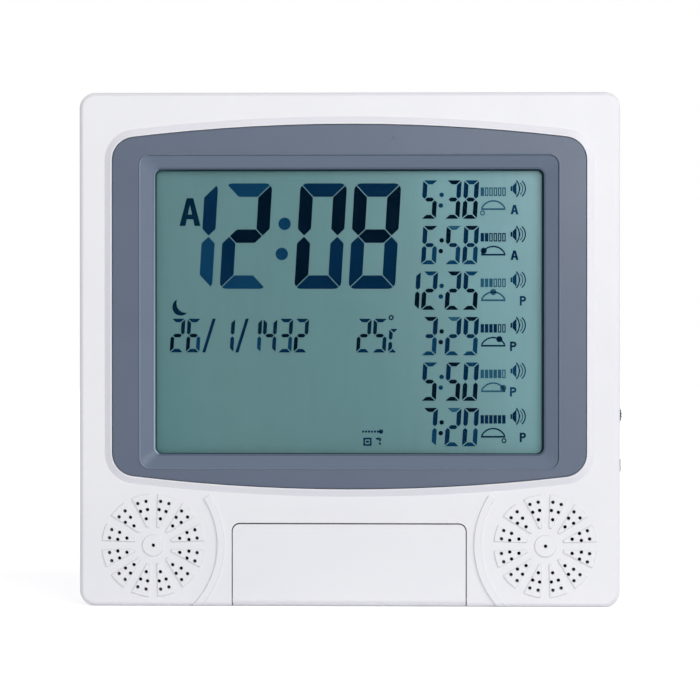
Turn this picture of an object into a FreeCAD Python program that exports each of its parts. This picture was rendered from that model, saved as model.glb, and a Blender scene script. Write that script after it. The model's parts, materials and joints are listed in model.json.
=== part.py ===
import FreeCAD, Part
import math
import os

# Azan clock for a wall or a table: a large display, two loudspeakers and a flap over the keys.
# Millimetres. +X is to the right seen from the front, +Y runs from front to back, +Z is up.
# The origin is the middle of the flat bottom face, halfway between the front and back faces.

# Casing
body_width = 235.0
body_height = 223.3
body_corner_radius = 6.7
front_edge_radius = 2.0
back_edge_radius = 2.5
wall = 2.5
rear_case_depth = 12.0
lip_height = 2.0
lip_thickness = 1.2
fit_gap = 0.2
part_gap = 0.3

# Display bezel and the raised rim around it
bezel_side_margin = 14.45
bezel_top_margin = 13.85
bezel_screw_cover = 0.65
bezel_corner_radius = 10.0
bezel_bulge_radius = 800.0
bezel_flange = 2.0
bezel_edge_radius = 0.4
bezel_sink = 0.3
rim_width = 3.4
rim_height = 1.4
rim_crest = 0.7
band_side_width = 11.75
band_top_width = 13.0
band_bottom_width = 8.6
recess_corner_radius = 4.6
recess_slope_depth = 3.0
recess_back_wall = 1.2
slope_side_width = 6.55
slope_level_width = 6.35
window_corner_radius = 3.0
case_opening_margin = 2.0

# Clear pane, liquid crystal cell and their holder
pane_overlap = 5.0
pane_thickness = 1.5
cell_overlap = 4.0
cell_thickness = 2.8
cell_corner_radius = 0.5
holder_wall = 5.2
holder_ledge = 2.0
strip_end_margin = 13.75
strip_width = 2.4
strip_inset = 1.2
strip_thickness = 3.3

# Main board and what it carries
board_thickness = 1.6
board_side_margin = 3.7
board_end_margin = 5.7
board_tab_reach = 9.5
board_tab_margin = 4.6
board_boss_gap = 2.15
board_boss_inset = 6.2
board_boss_radius = 3.2
chip_cover_x = -60.0
chip_cover_z = 100.0
chip_cover_radius = 9.0
chip_cover_top_radius = 5.4
chip_cover_height = 1.8
audio_chip_x = 30.0
audio_chip_z = 74.0
audio_chip_length = 13.0
audio_chip_width = 7.5
audio_chip_height = 2.0
crystal_x = -42.0
crystal_z = 96.0
crystal_radius = 1.5
crystal_length = 8.0
sensor_inset = 11.3
sensor_z = 66.0
sensor_radius = 1.6
sensor_height = 1.8

# Loudspeakers and their grilles
speaker_radius = 22.4
speaker_edge_margin = 6.8
speaker_floor_gap = 1.5
speaker_flange = 1.2
speaker_depth = 16.0
basket_wall = 0.9
basket_back_radius = 14.0
magnet_radius = 12.5
magnet_depth = 7.0
cone_thickness = 0.6
cone_rim_radius = 19.5
cone_cap_radius = 7.0
cone_drop = 5.0
speaker_screw_gap = 0.6
speaker_boss_radius = 2.4
washer_thickness = 0.8
washer_overhang = 1.5
grille_hole_radius = 0.75
grille_inner_ring = 11.93
grille_middle_ring = 15.73
grille_outer_ring = 19.37
grille_middle_angle = 5.7
grille_outer_angle = 5.5
grille_wedges = 12
wedge_inner_radius = 8.1
wedge_outer_radius = 22.4
wedge_inner_half_width = 0.57
wedge_outer_half_width = 3.82
wedge_height = 0.5
grille_disc_radius = 4.7
rib_shift_x = 8.9
rib_shift_z = 0.3
rib_inner_radius = 36.9
rib_width = 3.0
rib_height = 0.8
rib_top_angle = 33.0

# Flap over the keys, with its hinge at the lower edge
flap_speaker_gap = 11.8
flap_opening_top = 36.2
flap_side_gap = 0.4
flap_top_gap = 0.5
flap_corner_radius = 3.5
flap_wall = 2.0
hinge_radius = 3.0
hinge_pin_radius = 1.0
hinge_pin_length = 1.5
hinge_pin_gap = 0.06
hinge_lug_width = 3.0
catch_half_width = 5.0
catch_reach = 3.5
catch_thickness = 1.2

# Keys behind the flap
key_recess_depth = 9.0
key_floor_wall = 2.0
key_columns = 4
key_rows = 2
key_side_margin = 5.1
key_spacing = 9.0
key_pitch_z = 12.5
key_first_z = 12.5
key_height = 6.6
key_corner_radius = 3.2
key_stand_out = 1.8
key_edge_radius = 0.6
key_travel = 1.2
key_gap = 0.25
key_flange_margin = 1.2
key_flange_wall = 1.0
keypad_side_margin = 3.1
keypad_height = 27.0
keypad_sheet = 1.0
keypad_corner_radius = 2.0
keypad_dome_radius = 3.0
keypad_dome_top_radius = 2.1
keypad_dome_height = 1.4
key_board_side_margin = 1.1
key_board_height = 30.0
key_board_centre_z = 19.3
key_board_corner_radius = 1.0
key_boss_inset = 4.1
key_boss_z = 12.0
key_boss_radius = 2.2

# Volume wheel and power socket on the right side
wheel_radius = 7.7
wheel_thickness = 2.4
wheel_stand_out = 0.9
wheel_above_socket = 21.9
wheel_knurls = 36
wheel_knurl_radius = 0.3
wheel_shaft_radius = 1.5
wheel_shaft_gap = 0.05
pot_side = 9.0
pot_height = 3.4
wheel_slot_gap = 0.6
socket_board_margin = 3.6
socket_nose_radius = 2.8
socket_stand_out = 0.4
socket_bore_radius = 1.8
socket_bore_depth = 9.0
socket_pin_radius = 0.65
socket_body = 7.0
socket_hole_gap = 0.15

# Battery compartment in the back
cell_count = 3
battery_radius = 7.15
battery_length = 49.5
battery_nipple_radius = 2.7
battery_nipple_length = 1.0
battery_gap = 0.9
battery_play = 0.8
battery_box_play = 0.4
battery_box_side = 69.5
battery_box_drop = 75.3
battery_box_wall = 1.5
battery_board_gap = 3.0
battery_cover_wall = 2.0
battery_cover_margin = 1.6
contact_side = 11.0
contact_thickness = 0.5
battery_spring_length = 5.4
battery_spring_radius = 4.2
battery_spring_narrow_radius = 2.5
battery_spring_wire = 0.45
latch_width = 12.0
latch_length = 4.0
grip_count = 4
grip_pitch = 2.0
grip_width = 1.0
grip_depth = 0.5

# Folding stand on the back
stand_width = 52.0
stand_length = 86.0
stand_thickness = 3.2
stand_foot_clearance = 6.0
stand_hinge_radius = 2.2
stand_pin_radius = 1.5
stand_pin_reach = 3.0
stand_pin_gap = 0.06
stand_channel_gap = 0.6
stand_channel_depth = 5.0
stand_corner_radius = 3.0
stand_panel_width = 36.0
stand_panel_height = 62.0
stand_panel_depth = 0.8

# Fasteners and wall hanging
case_boss_inset = 9.5
case_boss_low_z = 8.2
case_boss_mid_z = 118.0
case_boss_drop = 9.8
case_boss_radius = 4.0
case_screw_radius = 1.4
case_screw_hole_gap = 0.05
case_screw_head_radius = 2.7
case_screw_head_height = 1.8
case_screw_well_radius = 3.2
case_screw_seat_wall = 2.5
case_screw_length = 16.0
small_screw_radius = 1.0
small_screw_head_radius = 1.9
small_screw_head_height = 1.3
small_screw_length = 6.0
screw_slot_width = 0.5
screw_slot_depth = 0.7
screw_slot_reach = 0.6
boss_floor = 1.0
tower_margin = 0.5
keyhole_side = 55.5
keyhole_drop = 27.3
keyhole_entry_radius = 4.0
keyhole_slot_radius = 1.9
keyhole_rise = 8.0

# Wires inside
ribbon_width = 20.0
ribbon_thickness = 0.5
ribbon_bend = 4.0
lead_radius = 0.8
lead_bend = 5.0

# Depth of the casing: the display and its board in front, the battery compartment behind
display_stack = (bezel_sink - rim_height + recess_slope_depth + recess_back_wall
                 + pane_thickness + part_gap + cell_thickness + strip_thickness
                 + board_thickness)
battery_stack = (battery_cover_wall + part_gap + 2 * battery_radius + part_gap
                 + battery_box_wall)
body_depth = display_stack + battery_board_gap + battery_stack

# Places across the casing and up it
half_width = body_width / 2
speaker_screw_circle = speaker_radius + speaker_boss_radius + speaker_screw_gap
speaker_x = half_width - speaker_edge_margin - speaker_screw_circle
speaker_z = wall + speaker_floor_gap + speaker_radius
rib_centre_x = speaker_x + rib_shift_x
rib_centre_z = speaker_z + rib_shift_z
bezel_bottom_z = speaker_z + speaker_screw_circle - bezel_screw_cover
bezel_width = body_width - 2 * bezel_side_margin
bezel_height = body_height - bezel_top_margin - bezel_bottom_z
bezel_centre_z = bezel_bottom_z + bezel_height / 2
recess_width = bezel_width - 2 * band_side_width
recess_height = bezel_height - band_top_width - band_bottom_width
display_centre_z = bezel_bottom_z + band_bottom_width + recess_height / 2
window_width = recess_width - 2 * slope_side_width
window_height = recess_height - 2 * slope_level_width
cell_width = window_width + 2 * cell_overlap
cell_height = window_height + 2 * cell_overlap
strip_length = cell_width - 2 * strip_end_margin
board_boss_x = cell_width / 2 + holder_wall + board_boss_gap + board_boss_radius
board_boss_z = cell_height / 2 + holder_wall - board_boss_inset
board_width = 2 * (board_boss_x + board_side_margin)
board_height = 2 * (board_boss_z + board_end_margin)
board_bottom_z = display_centre_z - board_height / 2
sensor_x = board_boss_x - sensor_inset
socket_z = board_bottom_z + socket_board_margin
wheel_z = socket_z + wheel_above_socket
board_tab_top = wheel_z + pot_side / 2 + board_tab_margin
flap_opening_half_width = speaker_x - speaker_radius - flap_speaker_gap
key_pitch_x = 2 * (flap_opening_half_width - key_side_margin) / key_columns
key_width = key_pitch_x - key_spacing
key_boss_x = flap_opening_half_width - key_boss_inset
keypad_width = 2 * (flap_opening_half_width - keypad_side_margin)
key_board_width = 2 * (flap_opening_half_width - key_board_side_margin)
battery_pitch = 2 * battery_radius + battery_gap
battery_box_height = cell_count * battery_pitch + battery_box_play
battery_box_length = (2 * contact_thickness + battery_spring_length + part_gap
                      + battery_length + battery_nipple_length + battery_play)
battery_box_x = battery_box_side - half_width
battery_box_z = body_height - battery_box_drop
stand_hinge_z = stand_length + stand_foot_clearance
case_boss_x = half_width - case_boss_inset
case_boss_high_z = body_height - case_boss_drop
keyhole_x = half_width - keyhole_side
keyhole_z = body_height - keyhole_drop

# Depths of the faces, from front to back
front_y = -body_depth / 2
back_y = body_depth / 2
split_y = back_y - rear_case_depth
inner_front_y = front_y + wall
inner_back_y = back_y - wall
rim_crest_y = front_y - rim_height
bezel_front_y = rim_crest_y + bezel_sink
bezel_seat_y = bezel_front_y + bezel_flange
bezel_back_y = bezel_front_y + recess_slope_depth + recess_back_wall
pane_back_y = bezel_back_y + pane_thickness
cell_front_y = pane_back_y + part_gap
cell_back_y = cell_front_y + cell_thickness
board_front_y = cell_back_y + strip_thickness
board_back_y = board_front_y + board_thickness
hinge_y = front_y + hinge_radius
hinge_z = hinge_radius
key_floor_y = front_y + key_recess_depth
key_floor_back_y = key_floor_y + key_floor_wall
key_back_y = key_floor_back_y + fit_gap + key_flange_wall
keypad_back_y = key_back_y + part_gap + key_travel + keypad_dome_height + keypad_sheet
key_board_back_y = keypad_back_y + board_thickness
wheel_x = half_width + wheel_stand_out - wheel_radius
wheel_front_y = board_back_y + pot_height + part_gap
wheel_back_y = wheel_front_y + wheel_thickness
socket_y = board_back_y + socket_body / 2
battery_y = back_y - battery_cover_wall - part_gap - battery_radius
battery_floor_y = battery_y - battery_radius - part_gap
stand_axis_y = back_y - stand_hinge_radius
stand_channel_y = back_y - stand_channel_depth
screw_seat_y = inner_back_y - case_screw_seat_wall


def vec(x, y, z):
    return FreeCAD.Vector(x, y, z)


def box(x0, x1, y0, y1, z0, z1):
    """A block between the given limits."""
    return Part.makeBox(x1 - x0, y1 - y0, z1 - z0, vec(x0, y0, z0))


def rod_y(x, z, radius, y0, y1):
    """A round rod that runs from front to back."""
    return Part.makeCylinder(radius, y1 - y0, vec(x, y0, z), vec(0, 1, 0))


def rod_x(y, z, radius, x0, x1):
    """A round rod that runs from left to right."""
    return Part.makeCylinder(radius, x1 - x0, vec(x0, y, z), vec(1, 0, 0))


def cone_y(x, z, front_radius, back_radius, y0, y1):
    """A round taper that runs from front to back."""
    return Part.makeCone(front_radius, back_radius, y1 - y0, vec(x, y0, z), vec(0, 1, 0))


def arc_edge(start, middle, end):
    return Part.Arc(start, middle, end).toShape()


def line_edge(start, end):
    return Part.LineSegment(start, end).toShape()


def rounded_wire(cx, cz, width, height, radius, y):
    """A rectangle with round corners, standing at depth y."""
    hw = width / 2
    hh = height / 2
    diagonal = radius * math.sqrt(0.5)
    edges = []
    for sx, sz in ((1, 1), (-1, 1), (-1, -1), (1, -1)):
        px = cx + sx * (hw - radius)
        pz = cz + sz * (hh - radius)
        upright = vec(px + sx * radius, y, pz)
        level = vec(px, y, pz + sz * radius)
        middle = vec(px + sx * diagonal, y, pz + sz * diagonal)
        if sx * sz > 0:
            edges.append((upright, middle, level))
        else:
            edges.append((level, middle, upright))
    shapes = []
    for i, (start, middle, end) in enumerate(edges):
        following = edges[(i + 1) % len(edges)][0]
        shapes.append(arc_edge(start, middle, end))
        shapes.append(line_edge(end, following))
    return Part.Wire(shapes)


def plate(cx, cz, width, height, radius, y0, y1):
    """A flat plate with round corners, from depth y0 to y1."""
    wire = rounded_wire(cx, cz, width, height, radius, y0)
    return Part.Face(wire).extrude(vec(0, y1 - y0, 0))


def taper(cx, cz, front, back, y0, y1):
    """A plate whose outline changes from front to back; each is (width, height, radius)."""
    first = rounded_wire(cx, cz, front[0], front[1], front[2], y0)
    last = rounded_wire(cx, cz, back[0], back[1], back[2], y1)
    return Part.makeLoft([first, last], True, True)


def bulged_wire(grow, y):
    """The bezel's outline, grown by an offset: upright sides, slightly arched top and bottom."""
    half = bezel_width / 2 + grow
    rise = bezel_height / 2 + grow
    corner = bezel_corner_radius + grow
    bulge = bezel_bulge_radius + grow
    drop = math.sqrt((bulge - corner) ** 2 - (half - corner) ** 2)
    corner_z = rise - bulge + drop
    lean = math.asin((half - corner) / (bulge - corner))
    halfway = (math.pi / 2 + lean) / 2
    tangent_x = bulge * math.sin(lean)
    tangent_z = rise - bulge + bulge * math.cos(lean)
    middle_x = half - corner + corner * math.sin(halfway)
    middle_z = corner_z + corner * math.cos(halfway)

    def at(x, z):
        return vec(x, y, bezel_centre_z + z)

    edges = [
        arc_edge(at(-tangent_x, tangent_z), at(0, rise), at(tangent_x, tangent_z)),
        arc_edge(at(tangent_x, tangent_z), at(middle_x, middle_z), at(half, corner_z)),
        line_edge(at(half, corner_z), at(half, -corner_z)),
        arc_edge(at(half, -corner_z), at(middle_x, -middle_z), at(tangent_x, -tangent_z)),
        arc_edge(at(tangent_x, -tangent_z), at(0, -rise), at(-tangent_x, -tangent_z)),
        arc_edge(at(-tangent_x, -tangent_z), at(-middle_x, -middle_z), at(-half, -corner_z)),
        line_edge(at(-half, -corner_z), at(-half, corner_z)),
        arc_edge(at(-half, corner_z), at(-middle_x, middle_z), at(-tangent_x, tangent_z)),
    ]
    return Part.Wire(edges)


def bulged_plate(grow, y0, y1):
    return Part.Face(bulged_wire(grow, y0)).extrude(vec(0, y1 - y0, 0))


def edges_at_depth(shape, y):
    """Edges that lie wholly in the plane at depth y."""
    found = []
    for edge in shape.Edges:
        depths = [vertex.Point.y for vertex in edge.Vertexes]
        if max(abs(depth - y) for depth in depths) < 1e-6:
            found.append(edge)
    return found


def joined(shapes):
    """One shape from touching or overlapping shapes."""
    first = shapes[0]
    if len(shapes) == 1:
        return first
    return first.fuse(shapes[1:]).removeSplitter()


def save(name, shape):
    shape.exportStep("parts/" + name + ".step")


def save_group(name, shapes):
    save(name, Part.makeCompound(shapes))


def screw(x, z, seat_y, end_y, head_radius, head_height, radius):
    """A pan-head screw: its head bears on seat_y and faces the back, its shank ends at end_y."""
    top = seat_y + head_height
    head = rod_y(x, z, head_radius, seat_y, top)
    shank = rod_y(x, z, radius, end_y, seat_y)
    return joined([head, shank]).cut(screw_cross(x, z, head_radius, top - screw_slot_depth, top))


def small_screw(x, z, seat_y, end_y):
    return screw(x, z, seat_y, end_y, small_screw_head_radius, small_screw_head_height,
                 small_screw_radius)


def screw_cross(x, z, head_radius, y0, y1):
    """The cross recess in a screw head."""
    reach = head_radius * screw_slot_reach
    half = screw_slot_width / 2
    upright = box(x - half, x + half, y0, y1, z - reach, z + reach)
    level = box(x - reach, x + reach, y0, y1, z - half, z + half)
    return upright.fuse(level)


def boss(x, z, radius, hole_radius, y0, y1):
    """A screw boss and the hole that is cut in it."""
    return rod_y(x, z, radius, y0, y1), rod_y(x, z, hole_radius, y0 + boss_floor, y1)


def case_boss_places():
    places = []
    for side in (-1, 1):
        for z in (case_boss_low_z, case_boss_mid_z, case_boss_high_z):
            places.append((side * case_boss_x, z))
    return places


def board_boss_places():
    places = []
    for side in (-1, 1):
        for up in (-1, 1):
            places.append((side * board_boss_x, display_centre_z + up * board_boss_z))
    return places


def key_boss_places():
    places = []
    for side in (-1, 1):
        for up in (-1, 1):
            places.append((side * key_boss_x, key_board_centre_z + up * key_boss_z))
    return places


def speaker_boss_places(side):
    """Three screws around a loudspeaker: left, top and right."""
    places = []
    for angle in (0, 90, 180):
        x = side * speaker_x + speaker_screw_circle * math.cos(math.radians(angle))
        z = speaker_z + speaker_screw_circle * math.sin(math.radians(angle))
        places.append((x, z))
    return places


def key_places():
    """Centres of the keys, row by row from the lower left."""
    places = []
    for row in range(key_rows):
        for column in range(key_columns):
            x = (column - (key_columns - 1) / 2) * key_pitch_x
            places.append((x, key_first_z + row * key_pitch_z))
    return places


def body_block(grow, y0, y1):
    """The casing's outline as a plate, grown outwards by an offset."""
    return plate(0, body_height / 2, body_width + 2 * grow, body_height + 2 * grow,
                 body_corner_radius + grow, y0, y1)


def wedge_points(angle, y):
    """Corners of one raised wedge of the grille, inner end first."""
    along = vec(math.cos(angle), 0, math.sin(angle))
    across = vec(-math.sin(angle), 0, math.cos(angle))
    outer_along = math.sqrt(wedge_outer_radius ** 2 - wedge_outer_half_width ** 2)
    lift = vec(0, y, 0)
    inner_left = along * wedge_inner_radius + across * wedge_inner_half_width + lift
    inner_right = along * wedge_inner_radius - across * wedge_inner_half_width + lift
    outer_left = along * outer_along + across * wedge_outer_half_width + lift
    outer_right = along * outer_along - across * wedge_outer_half_width + lift
    outer_middle = along * wedge_outer_radius + lift
    return inner_left, inner_right, outer_right, outer_middle, outer_left


def grille_relief(side):
    """The raised wedges and middle disc of one grille."""
    centre = vec(side * speaker_x, 0, speaker_z)
    front = front_y - wedge_height
    shapes = [rod_y(centre.x, centre.z, grille_disc_radius, front, inner_front_y)]
    for index in range(grille_wedges):
        angle = 2 * math.pi * (index + 0.5) / grille_wedges
        a, b, c, d, e = [centre + point for point in wedge_points(angle, front)]
        wire = Part.Wire([line_edge(a, b), line_edge(b, c), arc_edge(c, d, e), line_edge(e, a)])
        shapes.append(Part.Face(wire).extrude(vec(0, wedge_height + wall / 2, 0)))
    return shapes


def grille_holes(side):
    """The sound holes of one grille: one in the middle and three rings."""
    places = [(0.0, 0.0)]
    step = 360.0 / grille_wedges
    for index in range(grille_wedges):
        angle = step * (index + 0.5)
        places.append((grille_inner_ring, angle))
        for turn in (-1, 1):
            places.append((grille_middle_ring, angle + turn * grille_middle_angle))
            places.append((grille_outer_ring, angle + turn * grille_outer_angle))
    holes = []
    for radius, angle in places:
        x = side * speaker_x + radius * math.cos(math.radians(angle))
        z = speaker_z + radius * math.sin(math.radians(angle))
        holes.append(rod_y(x, z, grille_hole_radius, front_y - rim_height, inner_front_y + wall))
    return holes


def side_rib(side):
    """The raised arc beside one grille, cut off at its top end and at the casing's edge."""
    outer = rib_inner_radius + rib_width
    cx = -rib_centre_x
    base_y = front_y + wall / 2
    ring = rod_y(cx, rib_centre_z, outer, front_y - rib_height, base_y)
    ring = ring.cut(rod_y(cx, rib_centre_z, rib_inner_radius, front_y - rib_height, base_y))
    top = math.radians(rib_top_angle)
    reach = 2 * outer
    tip = vec(cx + reach * math.cos(top), base_y, rib_centre_z + reach * math.sin(top))
    corners = [
        vec(cx, base_y, rib_centre_z),
        tip,
        vec(cx + reach, base_y, rib_centre_z - reach),
        vec(cx, base_y, rib_centre_z - reach),
    ]
    sector = Part.Face(Part.makePolygon(corners + corners[:1])).extrude(vec(0, -wall, 0))
    skin = body_block(0, front_y - rib_height, base_y)
    skin = skin.makeFillet(front_edge_radius, edges_at_depth(skin, front_y - rib_height))
    rib = ring.common(sector).common(skin)
    if side > 0:
        rib = rib.mirror(vec(0, 0, 0), vec(1, 0, 0))
    return rib


def front_shell():
    """The front casing's outer shell with its rounded front edge."""
    outer = body_block(0, front_y, split_y)
    outer = outer.makeFillet(front_edge_radius, edges_at_depth(outer, front_y))
    return outer.cut(body_block(-wall, inner_front_y, split_y))


def display_rim():
    """The sloping rim that stands proud around the bezel."""
    foot = bulged_wire(rim_width, front_y)
    crest = bulged_wire(rim_crest, rim_crest_y)
    slope = Part.makeLoft([crest, foot], True, True)
    return slope.fuse(bulged_plate(rim_width, front_y, front_y + wall / 2))


def hinge_ears():
    """The two blocks at the lower corners of the flap opening that hold the hinge pins."""
    inner = flap_opening_half_width
    outer = inner + wall
    top = hinge_z + hinge_radius + wall / 2
    left = box(-outer, -inner, front_y + wall / 2, key_floor_y, 0, top)
    right = box(inner, outer, front_y + wall / 2, key_floor_y, 0, top)
    return [left, right]


def key_recess_space():
    """The hollow behind the flap, open at the front and at the bottom front edge."""
    half = flap_opening_half_width
    top = flap_opening_top
    upper = plate(0, 0, 2 * half, 2 * top, flap_corner_radius, front_y - wall, key_floor_y)
    upper = upper.common(box(-half, half, front_y - wall, key_floor_y, wall, top))
    barrel_back = hinge_y + hinge_radius + part_gap
    lower = box(-half, half, front_y - wall, barrel_back, -wall, hinge_z + hinge_radius)
    return joined([upper, lower])


def key_tray():
    """The floor and walls of the key recess, with the bosses for the control board."""
    half = flap_opening_half_width + wall
    solids = [box(-half, half, inner_front_y, key_floor_back_y, wall, flap_opening_top + wall)]
    holes = hinge_ears()
    for x, z in key_boss_places():
        solids.append(rod_y(x, z, key_boss_radius, key_floor_y, keypad_back_y))
        holes.append(rod_y(x, z, small_screw_radius, key_floor_y + boss_floor, keypad_back_y))
    for x, z in key_places():
        holes.append(keyed_outline(x, z, key_gap, key_floor_y - wall, key_floor_back_y + wall))
    holes.append(key_recess_space())
    return joined(solids).cut(holes)


def keyed_outline(x, z, margin, y0, y1):
    """A key's rounded outline grown by a margin."""
    return plate(x, z, key_width + 2 * margin, key_height + 2 * margin,
                 key_corner_radius + margin, y0, y1)


def wheel_slot():
    """The slot in the side wall that the volume wheel looks through."""
    reach = wheel_radius + wheel_slot_gap
    return box(half_width - 2 * wall, half_width + wall, wheel_front_y - wheel_slot_gap,
               wheel_back_y + wheel_slot_gap, wheel_z - reach, wheel_z + reach)


def hinge_pin_holes(gap):
    """The flap's two hinge pins, grown by a gap and lengthened by the same."""
    half = flap_opening_half_width
    start = half - flap_side_gap - hinge_lug_width
    end = half - flap_side_gap + hinge_pin_length + gap
    radius = hinge_pin_radius + gap
    left = rod_x(hinge_y, hinge_z, radius, -end, -start)
    right = rod_x(hinge_y, hinge_z, radius, start, end)
    return [left, right]


def front_case():
    """The front casing: shell, rim, grilles, ribs, hinge ears and screw bosses."""
    solids = [front_shell(), display_rim()] + hinge_ears()
    holes = []
    for side in (-1, 1):
        solids.extend(grille_relief(side))
        solids.append(side_rib(side))
        holes.extend(grille_holes(side))
        for x, z in speaker_boss_places(side):
            top_y = inner_front_y + speaker_flange
            post, hole = boss(x, z, speaker_boss_radius, small_screw_radius,
                              front_y + wall / 2, top_y)
            solids.append(post)
            holes.append(hole)
    for x, z in case_boss_places():
        post, hole = boss(x, z, case_boss_radius, case_screw_radius + case_screw_hole_gap,
                          front_y + wall / 2, split_y)
        solids.append(post)
        holes.append(hole)
    for x, z in board_boss_places():
        post, hole = boss(x, z, board_boss_radius, small_screw_radius,
                          front_y + wall / 2, board_front_y)
        solids.append(post)
        holes.append(hole)
    margin = case_opening_margin
    holes.append(bulged_plate(fit_gap, rim_crest_y - wall, bezel_seat_y))
    holes.append(plate(0, display_centre_z, recess_width + 2 * margin,
                       recess_height + 2 * margin, recess_corner_radius + margin,
                       rim_crest_y - wall, inner_front_y + wall))
    holes.append(key_recess_space())
    holes.extend(hinge_pin_holes(hinge_pin_gap))
    holes.append(wheel_slot())
    holes.append(rod_x(socket_y, socket_z, socket_nose_radius + socket_hole_gap,
                       half_width - 2 * wall, half_width + wall))
    return joined(solids).cut(holes)


def display_bezel():
    """The grey frame: a flat band that slopes in to the display window."""
    flange = bulged_plate(0, bezel_front_y, bezel_seat_y)
    flange = flange.makeFillet(bezel_edge_radius, edges_at_depth(flange, bezel_front_y))
    margin = case_opening_margin - fit_gap
    back = plate(0, display_centre_z, recess_width + 2 * margin, recess_height + 2 * margin,
                 recess_corner_radius + margin, bezel_seat_y - bezel_flange / 2, bezel_back_y)
    slope = taper(0, display_centre_z,
                  (recess_width, recess_height, recess_corner_radius),
                  (window_width, window_height, window_corner_radius),
                  bezel_front_y, bezel_front_y + recess_slope_depth)
    window = plate(0, display_centre_z, window_width, window_height, window_corner_radius,
                   bezel_front_y, bezel_back_y)
    return joined([flange, back]).cut([slope, window])


def display_pane():
    """The clear pane behind the window opening."""
    return plate(0, display_centre_z, window_width + 2 * pane_overlap,
                 window_height + 2 * pane_overlap, window_corner_radius,
                 bezel_back_y, pane_back_y)


def display_cell():
    """The liquid crystal cell that shows the time."""
    return plate(0, display_centre_z, cell_width, cell_height, cell_corner_radius,
                 cell_front_y, cell_back_y)


def display_holder():
    """The frame that carries the pane and the cell behind the casing's opening."""
    outer = plate(0, display_centre_z, cell_width + 2 * holder_wall,
                  cell_height + 2 * holder_wall, holder_ledge, inner_front_y, board_front_y)
    pane = plate(0, display_centre_z, window_width + 2 * pane_overlap + 2 * fit_gap,
                 window_height + 2 * pane_overlap + 2 * fit_gap, window_corner_radius,
                 inner_front_y, pane_back_y)
    bezel_margin = case_opening_margin
    bezel = plate(0, display_centre_z, recess_width + 2 * bezel_margin,
                  recess_height + 2 * bezel_margin, recess_corner_radius + bezel_margin,
                  inner_front_y, bezel_back_y)
    cell = plate(0, display_centre_z, cell_width + 2 * fit_gap, cell_height + 2 * fit_gap,
                 cell_corner_radius, pane_back_y - fit_gap, cell_back_y)
    inner = plate(0, display_centre_z, cell_width - 2 * holder_ledge,
                  cell_height - 2 * holder_ledge, cell_corner_radius,
                  cell_back_y - fit_gap, board_front_y)
    strips = strip_slots(fit_gap)
    return outer.cut([pane, bezel, cell, inner] + strips)


def strip_slots(gap):
    """The two elastic strips that join the cell to the board, grown by a gap."""
    slots = []
    for up in (-1, 1):
        z = display_centre_z + up * (cell_height / 2 - strip_inset - strip_width / 2)
        slots.append(box(-strip_length / 2 - gap, strip_length / 2 + gap, cell_back_y,
                         board_front_y, z - strip_width / 2 - gap, z + strip_width / 2 + gap))
    return slots


def main_board():
    """The main circuit board with a tab for the volume control and the power socket."""
    base = box(-board_width / 2, board_width / 2, board_front_y, board_back_y,
               board_bottom_z, board_bottom_z + board_height)
    tab = box(board_width / 2 - wall, board_width / 2 + board_tab_reach, board_front_y,
              board_back_y, board_bottom_z, board_tab_top)
    holes = []
    for x, z in board_boss_places():
        holes.append(rod_y(x, z, small_screw_radius + fit_gap, board_front_y, board_back_y))
    return joined([base, tab]).cut(holes)


def control_board():
    """The small circuit board behind the keys."""
    base = plate(0, key_board_centre_z, key_board_width, key_board_height,
                 key_board_corner_radius, keypad_back_y, key_board_back_y)
    holes = []
    for x, z in key_boss_places():
        holes.append(rod_y(x, z, small_screw_radius + fit_gap, keypad_back_y, key_board_back_y))
    return base.cut(holes)


def keypad():
    """The rubber sheet with one dome under each key."""
    sheet_y = keypad_back_y - keypad_sheet
    sheet = plate(0, key_board_centre_z, keypad_width, keypad_height, keypad_corner_radius,
                  sheet_y, keypad_back_y)
    domes = []
    for x, z in key_places():
        domes.append(cone_y(x, z, keypad_dome_top_radius, keypad_dome_radius,
                            sheet_y - keypad_dome_height, sheet_y))
    notches = []
    for x, z in key_boss_places():
        notches.append(rod_y(x, z, key_boss_radius + part_gap, sheet_y, keypad_back_y))
    return joined([sheet] + domes).cut(notches)


def key(x, z):
    """One key: a cap through the recess floor and the flange that keeps it in."""
    front = key_floor_y - key_stand_out
    cap = keyed_outline(x, z, 0, front, key_floor_back_y + fit_gap)
    cap = cap.makeFillet(key_edge_radius, edges_at_depth(cap, front))
    flange = keyed_outline(x, z, key_flange_margin, key_floor_back_y + fit_gap, key_back_y)
    return joined([cap, flange])


def flap():
    """The flap: a front wall that curls under into its hinge barrel, with pins and a catch."""
    half = flap_opening_half_width - flap_side_gap
    top = flap_opening_top - flap_top_gap
    inner_y = front_y + flap_wall
    panel = plate(0, 0, 2 * half, 2 * top, flap_corner_radius - flap_side_gap, front_y, inner_y)
    panel = panel.common(box(-half, half, front_y, inner_y, hinge_z, top))
    curl = rod_x(hinge_y, hinge_z, hinge_radius, -half, half)
    curl = curl.cut(rod_x(hinge_y, hinge_z, hinge_radius - flap_wall, -half, half))
    curl = curl.cut(box(-half, half, hinge_y, back_y, hinge_z, top))
    curl = curl.cut(box(-half, half, front_y, hinge_y, hinge_z, top))
    lugs = []
    for side in (-1, 1):
        inner = side * (half - hinge_lug_width)
        outer = side * half
        lugs.append(rod_x(hinge_y, hinge_z, hinge_radius, min(inner, outer), max(inner, outer)))
    catch_top = top - part_gap
    catch = box(-catch_half_width, catch_half_width, inner_y - flap_wall / 2,
                inner_y + catch_reach, catch_top - catch_thickness, catch_top)
    return joined([panel, curl] + lugs + hinge_pin_holes(0) + [catch])


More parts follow.
